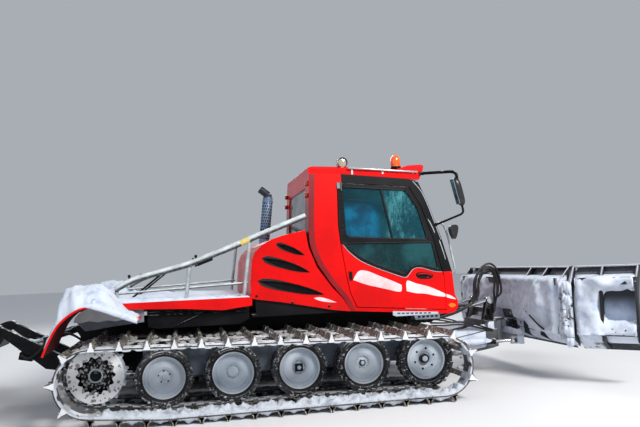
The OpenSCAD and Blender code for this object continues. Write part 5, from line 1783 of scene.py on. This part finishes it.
def make_beacon():
    """The amber dome in place of the plain one, on its base."""
    base = Shape()
    spot = at(3.82, -0.78, 2.847)
    base.turned([(0.066, 0.0), (0.0705, 0.006), (0.0705, 0.022), (0.0665, 0.028)], spot, 1, 48, "z")
    dome = Shape()
    dome.turned([
        (0.0, -0.02), (0.058, -0.02), (0.0600, 0.028), (0.0655, 0.040), (0.0660, 0.105),
        (0.0615, 0.138), (0.050, 0.162), (0.030, 0.180), (0.0, 0.1875),
    ], spot, 1, 48, "z")
    thing = dome.piece("beacon_dome", "beacon_amber", angle=60)
    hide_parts("beacon")
    base.turned([(0.030, -0.025), (0.064, -0.025), (0.066, 0.0), (0.030, 0.0)], spot, 1, 48, "z")
    base.piece("beacon_base", "black_paint")


def cushion(name, place, size, lean, channels=0):
    """A crowned seat cushion whose sides pull in between its corners, with sewn channels."""
    mesh = bmesh.new()
    bmesh.ops.create_cube(mesh, size=2)
    bmesh.ops.subdivide_edges(mesh, edges=mesh.edges, cuts=15, use_grid_fill=True)
    turn = Matrix.Rotation(math.radians(lean), 4, "Y")
    for v in mesh.verts:
        p = v.co.copy()
        round_off = [
            p[i] * math.sqrt(max(1 - 0.22 * (p[(i + 1) % 3] ** 4 + p[(i + 2) % 3] ** 4), 0.1))
            for i in range(3)
        ]
        q = Vector(round_off)
        for i in range(3):
            j, k = (i + 1) % 3, (i + 2) % 3
            q[i] *= 1 - 0.03 * (1 - p[k] ** 2) * (abs(p[j]) > 0.99)
        if channels and p.z > 0.5:
            off_seam = math.cos(p.x * math.pi * channels / 2) / 0.22
            q.z -= 0.10 * math.exp(-off_seam ** 2) * (1 - p.y ** 8)
        v.co = place + turn @ Vector([q[i] * size[i] / 2 for i in range(3)])
    thing = Shape(mesh).piece(name, "seat_cloth", angle=180)
    smooth = thing.modifiers.new("smooth", "SUBSURF")
    smooth.levels = 1
    smooth.render_levels = 1
    return thing


CAB_FLOOR = 1.0523


def make_seats():
    """Padded seats on boxed springs, with arm rests."""
    floor = CAB_FLOOR
    stands = Shape()
    for side, name in SIDES:
        y = side * 0.45
        pads = [
            cushion(f"seat_pad_{name}", at(3.44, y, floor + 0.315), (0.49, 0.49, 0.125), 0, 3),
            cushion(f"seat_back_{name}", at(3.195, y, floor + 0.620), (0.105, 0.47, 0.54), -12, 0),
            cushion(
                f"head_rest_{name}", at(3.115, y, floor + 0.960), (0.085, 0.27, 0.155), -12, 0,
            ),
        ]
        for dy in (-0.06, 0.06):
            stands.tube([at(3.15, y + dy, floor + 0.84), at(3.125, y + dy, floor + 0.93)], 0.007, 8)
        stands.box(at(3.295, y - 0.145, floor), at(3.545, y + 0.145, floor + 0.02))
        for k in range(6):
            z = floor + 0.02 + k * 0.038
            stands.box(
                at(3.31 + 0.006 * (k % 2), y - 0.135, z),
                at(3.53 - 0.006 * (k % 2), y + 0.135, z + 0.034),
            )
        stands.box(at(3.20, y - 0.235, floor + 0.235), at(3.67, y + 0.235, floor + 0.252))
        for dy in (-0.262, 0.262):
            stands.box(at(3.20, y + dy - 0.022, floor + 0.50), at(3.50, y + dy + 0.022, floor + 0.535))
            stands.box(at(3.20, y + dy - 0.012, floor + 0.252), at(3.235, y + dy + 0.012, floor + 0.50))
        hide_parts("seats")
    stands.piece("seat_frames", "dash_plastic", bevel=0.003)


def make_steering_wheel():
    """The wheel, its three spokes and the column."""
    wheel = Shape()
    centre = at(3.98, -0.45, 1.66)
    tilt = Matrix.Rotation(math.radians(-35), 4, "Y")
    rings = []
    for a in turns(48):
        out = Vector((math.cos(a), math.sin(a), 0))
        rings.append([
            centre + tilt @ (out * (0.185 + 0.013 * math.cos(b)) + Vector((0, 0, 0.013 * math.sin(b))))
            for b in turns(10)
        ])
    wheel.loft(rings, closed=True)
    for a in (0, 120, 240):
        out = Vector((math.cos(math.radians(a)), math.sin(math.radians(a)), 0))
        wheel.tube([centre + tilt @ Vector((0, 0, -0.03)), centre + tilt @ (out * 0.18)], 0.011, 8)
    wheel.tube([centre + tilt @ Vector((0, 0, -0.02)), at(4.10, -0.45, 1.46)], [0.035, 0.028], 16)
    wheel.piece("steering_wheel", "dash_plastic")


def make_cab_controls():
    """A screen on its post, and the console with its stick."""
    floor = CAB_FLOOR
    screen = Shape()
    screen.hull_of_box([
        at(x, y, z)
        for x, z0 in ((4.03, 1.52), (4.07, 1.535))
        for y in (-0.13, 0.13)
        for z in (z0, z0 + 0.2)
    ])
    screen.tube([at(4.06, 0, 1.55), at(4.12, 0, 1.44)], 0.014, 8)
    screen.tube([at(3.56, -0.20, floor + 0.50), at(3.56, -0.20, floor + 0.60)], 0.013, 10)
    screen.turned(
        [(0, 0.0), (0, 0.055), (0.018, 0.045), (0.022, 0.02), (0.012, 0.0)],
        at(3.56, -0.20, floor + 0.60), 1, 16, "z",
    )
    screen.box(at(3.30, -0.222, floor + 0.20), at(3.66, -0.178, floor + 0.50))
    screen.piece("cab_controls", "dash_plastic", bevel=0.004)


# Front linkage and blade

BLADE_X = 5.69
BLADE_FOOT = 0.415
BLADE_H = 1.04
BLADE_ARC = math.radians(42)
BLADE_HALF = 1.6
HINGE = Vector((5.66, 1.63, 0))
WING_TURN = math.radians(40)
WING_W = 0.88
RIB_X = 5.635


def blade_back(z, set_back=0.0):
    """X of the blade's back at a height, in the blade's own side view."""
    r = BLADE_H / 2 / math.sin(BLADE_ARC)
    rise = max(-1, min(1, (z - BLADE_FOOT - BLADE_H / 2) / r))
    return BLADE_X + r - (r + set_back) * math.cos(math.asin(rise))


def on_wing(side, x, y, z):
    """A point of a wing, drawn straight on as the blade's section is, in its place on the machine."""
    turned = HINGE + Matrix.Rotation(-WING_TURN, 3, "Z") @ (Vector((x, y, 0)) - HINGE)
    return at(turned.x, side * turned.y, z)


def snow_on_back(name, body, paint, place, out, y, z, thick, seed, step=0.03):
    """Snow caked on the back of the blade or a wing, between two places across and two heights."""

    def point(u, v):
        py = y[0] + u * (y[1] - y[0])
        pz = z[0] + v * (z[1] - z[0])
        base = place(blade_back(pz), py, pz)
        fade = edge_fade(u, v, 0.05, 0.08)
        t = thick(py, pz) * (1 + 0.45 * wavy(base, 3.5, seed)) + 0.020 * wavy(base, 11, seed + 2)
        t = t * fade - 0.006 * (1 - fade) + 0.004 * wavy(base, 40, seed + 5) * fade
        return base - out * 0.005, base + out * max(t, -0.004)

    return make_patch(name, body, paint, point, (y[1] - y[0], z[1] - z[0]), step)


def make_blade_details():
    """Snow caked on the blade's back, its worn rib edges, the bolts of its edge, and both wings."""
    back = Vector((-1, 0, 0))

    def blade_cake(y, z):
        free = min(1, max(0, (abs(y) - 0.20) / 0.08)) if z < 0.86 else 1
        heap = math.exp(-((abs(y) - 1.15) / 0.55) ** 2 - ((z - 0.86) / 0.36) ** 2)
        hole = math.exp(-((y + 1.28) / 0.055) ** 2 - ((z - 0.80) / 0.055) ** 2)
        over_ribs = blade_back(z) - RIB_X if z > 0.60 else 0.05
        thick = (over_ribs + 0.020 + 0.085 * heap) * min(1, max(0, (1.535 - abs(y)) / 0.09) + 0.1)
        if z < 0.74 and abs(y) < 0.74:
            thick = min(thick, (blade_back(z) - 5.63) / 1.6)
        return thick * free - 0.02 * (1 - free) - 0.30 * hole

    snow_on_back("blade_snow", "blade", "snow", at, back,
                 (-1.535, 1.535), (0.445, 1.345), blade_cake, 5)
    pale = Shape()
    for part in (0.37, 0.65, 0.97):
        for sign in (-1, 1):
            y = sign * part * BLADE_HALF
            pale.tube([at(5.633, y, 1.25), at(blade_back(1.449) - 0.088, y, 1.444)], 0.008, 8)
    pale.tube(
        [at(blade_back(1.455) - 0.098, -1.56, 1.441), at(blade_back(1.455) - 0.098, 1.56, 1.441)],
        0.005, 8,
    )
    pale.piece("blade_worn_edges", "pale_trim", "blade")
    bolts = Shape()
    for k in range(26):
        y = -1.5 + k * 0.12
        bolts.stud((-0.004, 0.012), (0.017, 0.014), at(blade_back(0.475) - 0.001, y, 0.475), -1, 6, "x")
    bolts.piece("blade_bolts", "tine_steel", "blade")

    for side, name in SIDES:
        make_wing_details(side, name)


def make_wing_details(side, name):
    """A wing's caked snow, worn rib edges, frosted hinge and the bare sheet in its hollow."""
    body = f"wing_{name}"
    out = on_wing(side, -1, 0, 0) - on_wing(side, 0, 0, 0)

    def place(x, y, z):
        return on_wing(side, x, y, z)

    def wing_cake(y, z):
        hollow = math.exp(-((y - HINGE.y - 0.68) / 0.20) ** 4 - ((z - 0.97) / 0.17) ** 4)
        over_ribs = blade_back(z) - RIB_X if z > 0.60 else 0.03
        near_hinge = min(1, max(0, (y - HINGE.y - 0.10) / 0.08) + 0.1)
        return (over_ribs + 0.030 + 0.02 * math.sin(z * 5)) * near_hinge - 0.50 * hollow

    snow_on_back(f"wing_snow_{name}", body, "snow", place, out,
                 (HINGE.y + 0.10, HINGE.y + 0.865), (0.50, 1.345), wing_cake, 15 + side)
    pale = Shape()
    for y in (0.095, WING_W / 2 + 0.015, WING_W - 0.015):
        yy = HINGE.y + y
        pale.tube(
            [on_wing(side, 5.633, yy, 1.25), on_wing(side, blade_back(1.449) - 0.088, yy, 1.444)],
            0.008, 8,
        )
    x = blade_back(1.455) - 0.098
    pale.tube(
        [on_wing(side, x, HINGE.y + 0.10, 1.441), on_wing(side, x, HINGE.y + 0.87, 1.441)], 0.005, 8,
    )
    frost = Shape()
    for z, tall in ((1.02, 0.15), (1.20, 0.14), (0.64, 0.13), (0.52, 0.11)):
        for turn in (-0.3, 0.35):
            spot = on_wing(side, HINGE.x - 0.004 - 0.012 * turn, HINGE.y + 0.040 + 0.050 * turn, z)
            frost.lump(spot, (0.040, 0.055, tall * 0.62), TRACK_RNG, 0.35)
    frost.piece(f"hinge_frost_{name}", "snow", body, angle=80)
    pale.piece(f"wing_worn_edges_{name}", "pale_trim", body)
    sheet = Shape()
    sheet.loft([
        [
            on_wing(side, blade_back(z) - 0.0035, HINGE.y + 0.475, z),
            on_wing(side, blade_back(z) - 0.0035, HINGE.y + 0.845, z),
            on_wing(side, blade_back(z) + 0.002, HINGE.y + 0.845, z),
            on_wing(side, blade_back(z) + 0.002, HINGE.y + 0.475, z),
        ]
        for z in (0.72 + 0.02 * k for k in range(26))
    ])
    sheet.piece(f"wing_sheet_{name}", "hollow_sheet", body)


def hose(shape, points, radius, sides=10):
    """A hose through points of the machine."""
    shape.tube(smooth_path([at(*p) for p in points], 6), radius, sides)


# The arch of hoses from the nose to the push frame, as x and z, and the point that it bends round
ARCH = [
    (4.20, 0.80), (4.45, 0.845), (4.72, 0.925), (4.93, 0.985), (4.995, 1.10), (5.005, 1.24),
    (5.04, 1.36), (5.12, 1.45), (5.21, 1.47), (5.285, 1.41), (5.32, 1.28), (5.325, 1.12),
    (5.31, 0.98), (5.28, 0.86),
]
ARCH_CENTRE = Vector((5.17, 1.15))
ARCH_HOSES = 4


def add_arch(shape, side):
    """The bundle of hoses along the arch, spread where it bends and tight where it is clamped."""
    for k in range(ARCH_HOSES):
        spread = (k - (ARCH_HOSES - 1) / 2) * 0.030
        points = []
        for i, (x, z) in enumerate(ARCH):
            p = Vector((x, z))
            out = unit(p - ARCH_CENTRE) if 3 <= i <= 11 else Vector((0, 1))
            tight = 0.75 if i in (0, 12, 13) else 1
            wobble = 0.008 * math.sin(i * 1.7 + k * 2.1)
            p = p + out * (spread * tight + wobble)
            inward = 0.10 if i > 11 else 0.03 * (i > 10)
            y = 0.47 + 0.022 * (k % 2) - inward + 0.006 * math.sin(i + k)
            points.append((p.x, side * y, p.y))
        hose(shape, points, 0.0145)


def make_front_hoses():
    """The hoses from the nose to the push frame, one bundle of them in an arch, and their brackets."""
    for side, name in reversed(SIDES):
        shape = Shape()
        if side == RIGHT:
            add_arch(shape, side)
        for k, drop in enumerate((0.0, 0.034)):
            hose(shape, [
                (4.30, side * (0.46 + 0.02 * k), 0.745 - drop), (4.50, side * 0.48, 0.735 - drop),
                (4.72, side * 0.49, 0.735 - drop), (4.95, side * 0.465, 0.69 - drop),
                (5.12, side * 0.44, 0.63 - drop * 0.7), (5.25, side * 0.405, 0.59 - drop * 0.6),
            ], 0.0125)
        thing = shape.piece(f"front_hoses_{name}", "hose_rubber", None)
        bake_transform(thing)

        clamp = Shape()
        clamp.tube([at(4.26, side * 0.475, 0.805), at(4.31, side * 0.475, 0.818)], 0.058, 16)
        clamp.side_box(side, at(3.955, 0.43, 0.76), at(4.31, 0.50, 0.80))
        clamp.side_box(side, at(3.95, 0.40, 0.66), at(3.972, 0.50, 0.90))
        clamp.piece(f"hose_bracket_{name}", "black_paint", bevel=0.003)

        make_lift_details(side, name)


def make_lift_details(side, name):
    """The cover of a lift ram's joint on the push frame, and the valve beside it."""
    joint = Shape()
    y = side * 0.319
    joint.turned(
        [(0.0, -0.002), (0.0, 0.024), (0.034, 0.024), (0.040, 0.018), (0.052, 0.016), (0.054, -0.002)],
        at(5.27, y, 1.005), side, 40,
    )
    for k in range(4):
        a = math.radians(45 + 90 * k)
        joint.stud(
            (0.01, 0.026), (0.007, 0.006),
            at(5.27 + 0.045 * math.cos(a), y, 1.005 + 0.045 * math.sin(a)), side, 6,
        )
    joint.piece(f"lift_joint_cover_{name}", "rim_grey", "push_frame")
    valve = Shape()
    valve.tube([at(5.245, side * 0.355, 0.722), at(5.235, side * 0.355, 0.90)], 0.034, 20)
    valve.tube([at(5.235, side * 0.355, 0.90), at(5.234, side * 0.355, 0.925)], [0.024, 0.018], 16)
    valve.box(at(5.17, side * 0.355 - 0.022, 0.723), at(5.21, side * 0.355 + 0.022, 0.80))
    valve.piece(f"valve_{name}", "black_paint", "push_frame", bevel=0.003)


def make_ram_snow():
    """Snow caked round the angle rams' barrels."""
    for side, name in SIDES:
        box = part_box(f"angle_barrel_{name}")
        start = Vector((box[0].x + 0.05, side * 0.540, 0.45))
        end = Vector((box[1].x - 0.06, side * 0.560, 0.45))
        rings = []
        for k in range(25):
            t = k / 24
            middle = start.lerp(end, t)
            ring = []
            for a in turns(20):
                out = Vector((0, math.cos(a), math.sin(a)))
                spot = middle + out * 0.04
                thick = 0.048 * math.sin(math.pi * min(max(t, 0.06), 0.94)) ** 0.4
                thick += 0.016 * wavy(spot, 9, 3)
                thick += 0.008 * math.sin(a)
                ring.append(middle + out * max(thick, 0.02))
            rings.append(ring)
        cake = Shape()
        cake.loft(rings)
        cake.piece(f"angle_ram_snow_{name}", "snow", f"angle_barrel_{name}", angle=80)


def make_blade_hose():
    """The thin hose that hangs down the blade's back."""
    thin = Shape()
    hose(thin, [
        (5.625, -0.60, 0.84), (5.59, -0.68, 0.87), (5.545, -0.85, 0.85), (5.53, -1.05, 0.76),
        (5.56, -1.22, 0.66), (5.62, -1.30, 0.62),
    ], 0.011)
    thin.piece("blade_hose", "hose_rubber", "blade")


def make_push_frame_snow():
    """Snow on the push frame's beams, on their sides, on the blade's carrier and on the fork."""
    top = [(4.06, 0.504), (4.70, 0.519), (5.15, 0.598)]
    low = [(4.15, 0.300), (4.70, 0.265), (5.21, 0.340), (5.31, 0.365)]
    for side, name in SIDES:
        snow_over(
            f"push_snow_{name}", "push_frame", "snow", (4.32, 5.14), (side * 0.345, side * 0.415),
            lambda x, y: line_at(top, x), lambda x, y: line_at(top, x) + 0.085, 0.03, 21 + side, 0.02,
        )

        def caked(u, v, side=side):
            x = 4.22 + 1.06 * u
            z0 = line_at(low, x) + 0.035
            z1 = (line_at(top, x) if x < 5.15 else 0.72) - 0.01
            base = at(x, side * 0.42, z0 + v * (z1 - z0))
            if x > 5.15:
                base.y = side * 0.38
            out = Vector((0, side, 0))
            fade = edge_fade(u, v, 0.04, 0.12)
            t = (0.026 + 0.020 * wavy(base, 6, 2)) * fade
            t += 0.004 * wavy(base, 30, 7) * fade
            t -= 0.005 * (1 - fade)
            if abs(x - 5.15) < 0.03:
                t = -0.004
            return base - out * 0.005, base + out * max(t, -0.004)

        make_patch(f"push_side_snow_{name}", "push_frame", "snow", caked, (1.06, 0.3), 0.025)

        def on_end(u, v, side=side):
            base = at(5.490 + 0.097 * u, side * 0.639, 0.405 + 0.12 * v)
            fade = edge_fade(u, v, 0.12, 0.2)
            t = (0.022 + 0.016 * wavy(base, 7, 2)) * fade - 0.004 * (1 - fade)
            return base - Vector((0, side * 0.004, 0)), base + Vector((0, side * max(t, -0.003), 0))

        make_patch(f"carrier_end_snow_{name}", "blade_carrier", "snow", on_end, (0.097, 0.12), 0.015)
        snow_over(
            f"carrier_snow_{name}", "blade_carrier", "snow", (5.505, 5.60), (side * 0.13, side * 0.635),
            lambda x, y: 0.530, lambda x, y: 0.590, 0.035, 27 + side, 0.02,
        )
    snow_over("fork_snow", "push_frame", "snow", (5.16, 5.30), (-0.21, 0.21),
              lambda x, y: 0.725, lambda x, y: 0.755, 0.03, 31, 0.02)


# Rear linkage and tiller

TILLER = Vector((-1.96, 0, 0.70))
HOUSING_R = 0.216


def make_tiller_details():
    """Snow on the rear lift and on the tiller's housing, the housing's bolts and the hoses."""

    def on_housing(u, v):
        y = -2.06 + 4.12 * u
        a = math.radians(38 + 112 * v)
        out = Vector((math.cos(a), 0, math.sin(a)))
        base = at(TILLER.x, y, TILLER.z) + out * HOUSING_R
        fade = edge_fade(u, v, 0.02, 0.15)
        near_arm = min(1, max(0, (abs(abs(y) - 0.38) - 0.05) / 0.05)) if v < 0.45 else 1
        t = (0.035 + 0.02 * wavy(base, 2.5, 4) + 0.012 * wavy(base, 9, 6)) * fade * near_arm
        return base - out * 0.005, base + out * max(t - 0.006 * (1 - fade * near_arm), -0.004)

    snow_over(
        "rear_lift_snow", "rear_lift", "snow", (-1.06, -0.87), (-0.33, 0.33),
        lambda x, y: 0.70 + (x + 0.97) * -0.21, lambda x, y: 0.80 + (x + 0.97) * -0.21, 0.05, 41, 0.025,
    )
    make_patch("tiller_snow", "tiller", "snow", on_housing, (4.12, 0.42), 0.035)
    bolts = Shape()
    for k in range(34):
        y = -2.02 + k * 4.04 / 33
        for a in (22, 158):
            angle = math.radians(a)
            spot = at(
                TILLER.x + (HOUSING_R - 0.002) * math.cos(angle), y,
                TILLER.z + (HOUSING_R - 0.002) * math.sin(angle),
            )
            bolts.stud((-0.003, 0.009), (0.012, 0.010), spot, 1 if a < 90 else -1, 6, "x")
    bolts.piece("tiller_bolts", "tine_steel", "tiller")
    for side, name in SIDES:
        shape = Shape()
        for k in range(2):
            y = 0.46 + 0.035 * k
            hose(shape, [
                (-0.285, side * (0.44 + 0.01 * k), 0.80), (-0.40, side * y, 0.88),
                (-0.55, side * (y + 0.02), 0.90), (-0.70, side * (y + 0.01), 0.80),
                (-0.80, side * y, 0.68), (-0.92, side * (y - 0.02), 0.62),
                (-1.00, side * (0.425 + 0.02 * k), 0.66),
            ], 0.0125)
        thing = shape.piece(f"rear_hoses_{name}", "hose_rubber", None)
        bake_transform(thing)


# Running gear panels and hull details


def make_hull_details():
    """Pale plates between the wheels, cover plates and pipes under the deck."""
    for side, name in SIDES:
        plates = Shape()
        for a, b in zip([0] + WHEEL_XS[:-1], WHEEL_XS):
            start, slant, low = (a + 0.09, 0.04, 0.50) if a else (0.50, 0.03, 0.48)
            end = b - 0.09
            plates.prism([
                (start, low), (start + slant, 0.36), (end - 0.04, 0.36), (end, low), (end, 0.685),
                (start, 0.685),
            ], side * 1.079, side * 1.088)
        plates.piece(f"beam_plates_{name}", "beam_grey", bevel=0.002)
        plate = Shape()
        plate.prism(
            [(3.56, 0.988), (4.16, 0.948), (4.16, 0.920), (3.60, 0.920), (3.56, 0.935)],
            side * 1.168, side * 1.176,
        )
        plate.piece(f"frosted_plate_{name}", "rim_grey", bevel=0.002)
        slots = Shape()
        for k in range(8):
            x = 3.62 + 0.058 * k
            z = 0.950 - 0.0025 * k
            slots.box(at(x, side * 1.1765 - 0.002, z), at(x + 0.034, side * 1.1765 + 0.002, z + 0.015))
        slots.piece(f"plate_slots_{name}", "black_paint")
        pipes = Shape()
        for k in range(3):
            z = 1.165 - 0.035 * k
            pipes.tube(
                [
                    at(0.56, side * (1.136 + 0.004 * k), z),
                    at(1.74, side * (1.136 + 0.004 * k), z - 0.01),
                ],
                0.009, 8,
            )
        for x in (0.60, 0.95, 1.30, 1.66):
            pipes.box(at(x, side * 1.128 - 0.012, 1.07), at(x + 0.03, side * 1.128 + 0.024, 1.18))
        pipes.piece(f"side_pipes_{name}", "black_paint")


# Floor and light

FLOOR_SIZE = 120
LIT = at(2, 0, 1)


def make_floor():
    """A wide pale floor under the machine."""
    mesh = bpy.data.meshes.new("floor")
    h = FLOOR_SIZE / 2
    mesh.from_pydata([(-h, -h, 0), (h, -h, 0), (h, h, 0), (-h, h, 0)], [], [(0, 1, 2, 3)])
    floor = bpy.data.objects.new("floor", mesh)
    bpy.context.scene.collection.objects.link(floor)
    s = Shader("floor", 0.9)
    s.colour(s.mix(s.ramp(s.noise(0.4, 2), 0.3, 0.7), (0.74, 0.75, 0.77), (0.76, 0.77, 0.79)))
    mesh.materials.append(s.material)


def add_light(name, place, size, watts, colour=(1, 1, 1)):
    """A round soft light that is aimed at the machine."""
    data = bpy.data.lights.new(name, "AREA")
    data.shape = "DISK"
    data.size = size
    data.energy = watts
    data.color = colour
    light = bpy.data.objects.new(name, data)
    bpy.context.scene.collection.objects.link(light)
    aim = (LIT - place).to_track_quat("-Z", "Y")
    light.matrix_world = Matrix.Translation(place) @ aim.to_matrix().to_4x4()


def make_lights():
    """Soft studio light, with the key over the camera's right shoulder."""
    world = bpy.data.worlds.new("studio")
    bpy.context.scene.world = world
    world.use_nodes = True
    background = world.node_tree.nodes["Background"]
    background.inputs["Color"].default_value = (0.86, 0.92, 1.0, 1)
    background.inputs["Strength"].default_value = 0.46
    add_light("key", at(8, -12, 10), 5, 2500, (1.0, 0.97, 0.93))
    add_light("fill", at(-9, -9, 5), 7, 180, (0.85, 0.92, 1.0))
    add_light("back", at(3, 11, 8), 7, 700)


bpy.context.scene.view_settings.view_transform = "Standard"
make_camera()
make_floor()
make_lights()
dress_nodes()
for side, name in SIDES:
    make_track(side, name)
make_wheels()
make_hull_details()
make_rails()
make_stack()
make_hood_trim()
make_cab_trim()
make_wipers()
make_lamps()
make_beacon()
make_seats()
make_steering_wheel()
make_cab_controls()
make_fenders()
make_mud_panels()
make_deck_snow()
make_front_hoses()
make_ram_snow()
make_blade_hose()
make_push_frame_snow()
make_blade_details()
make_tiller_details()
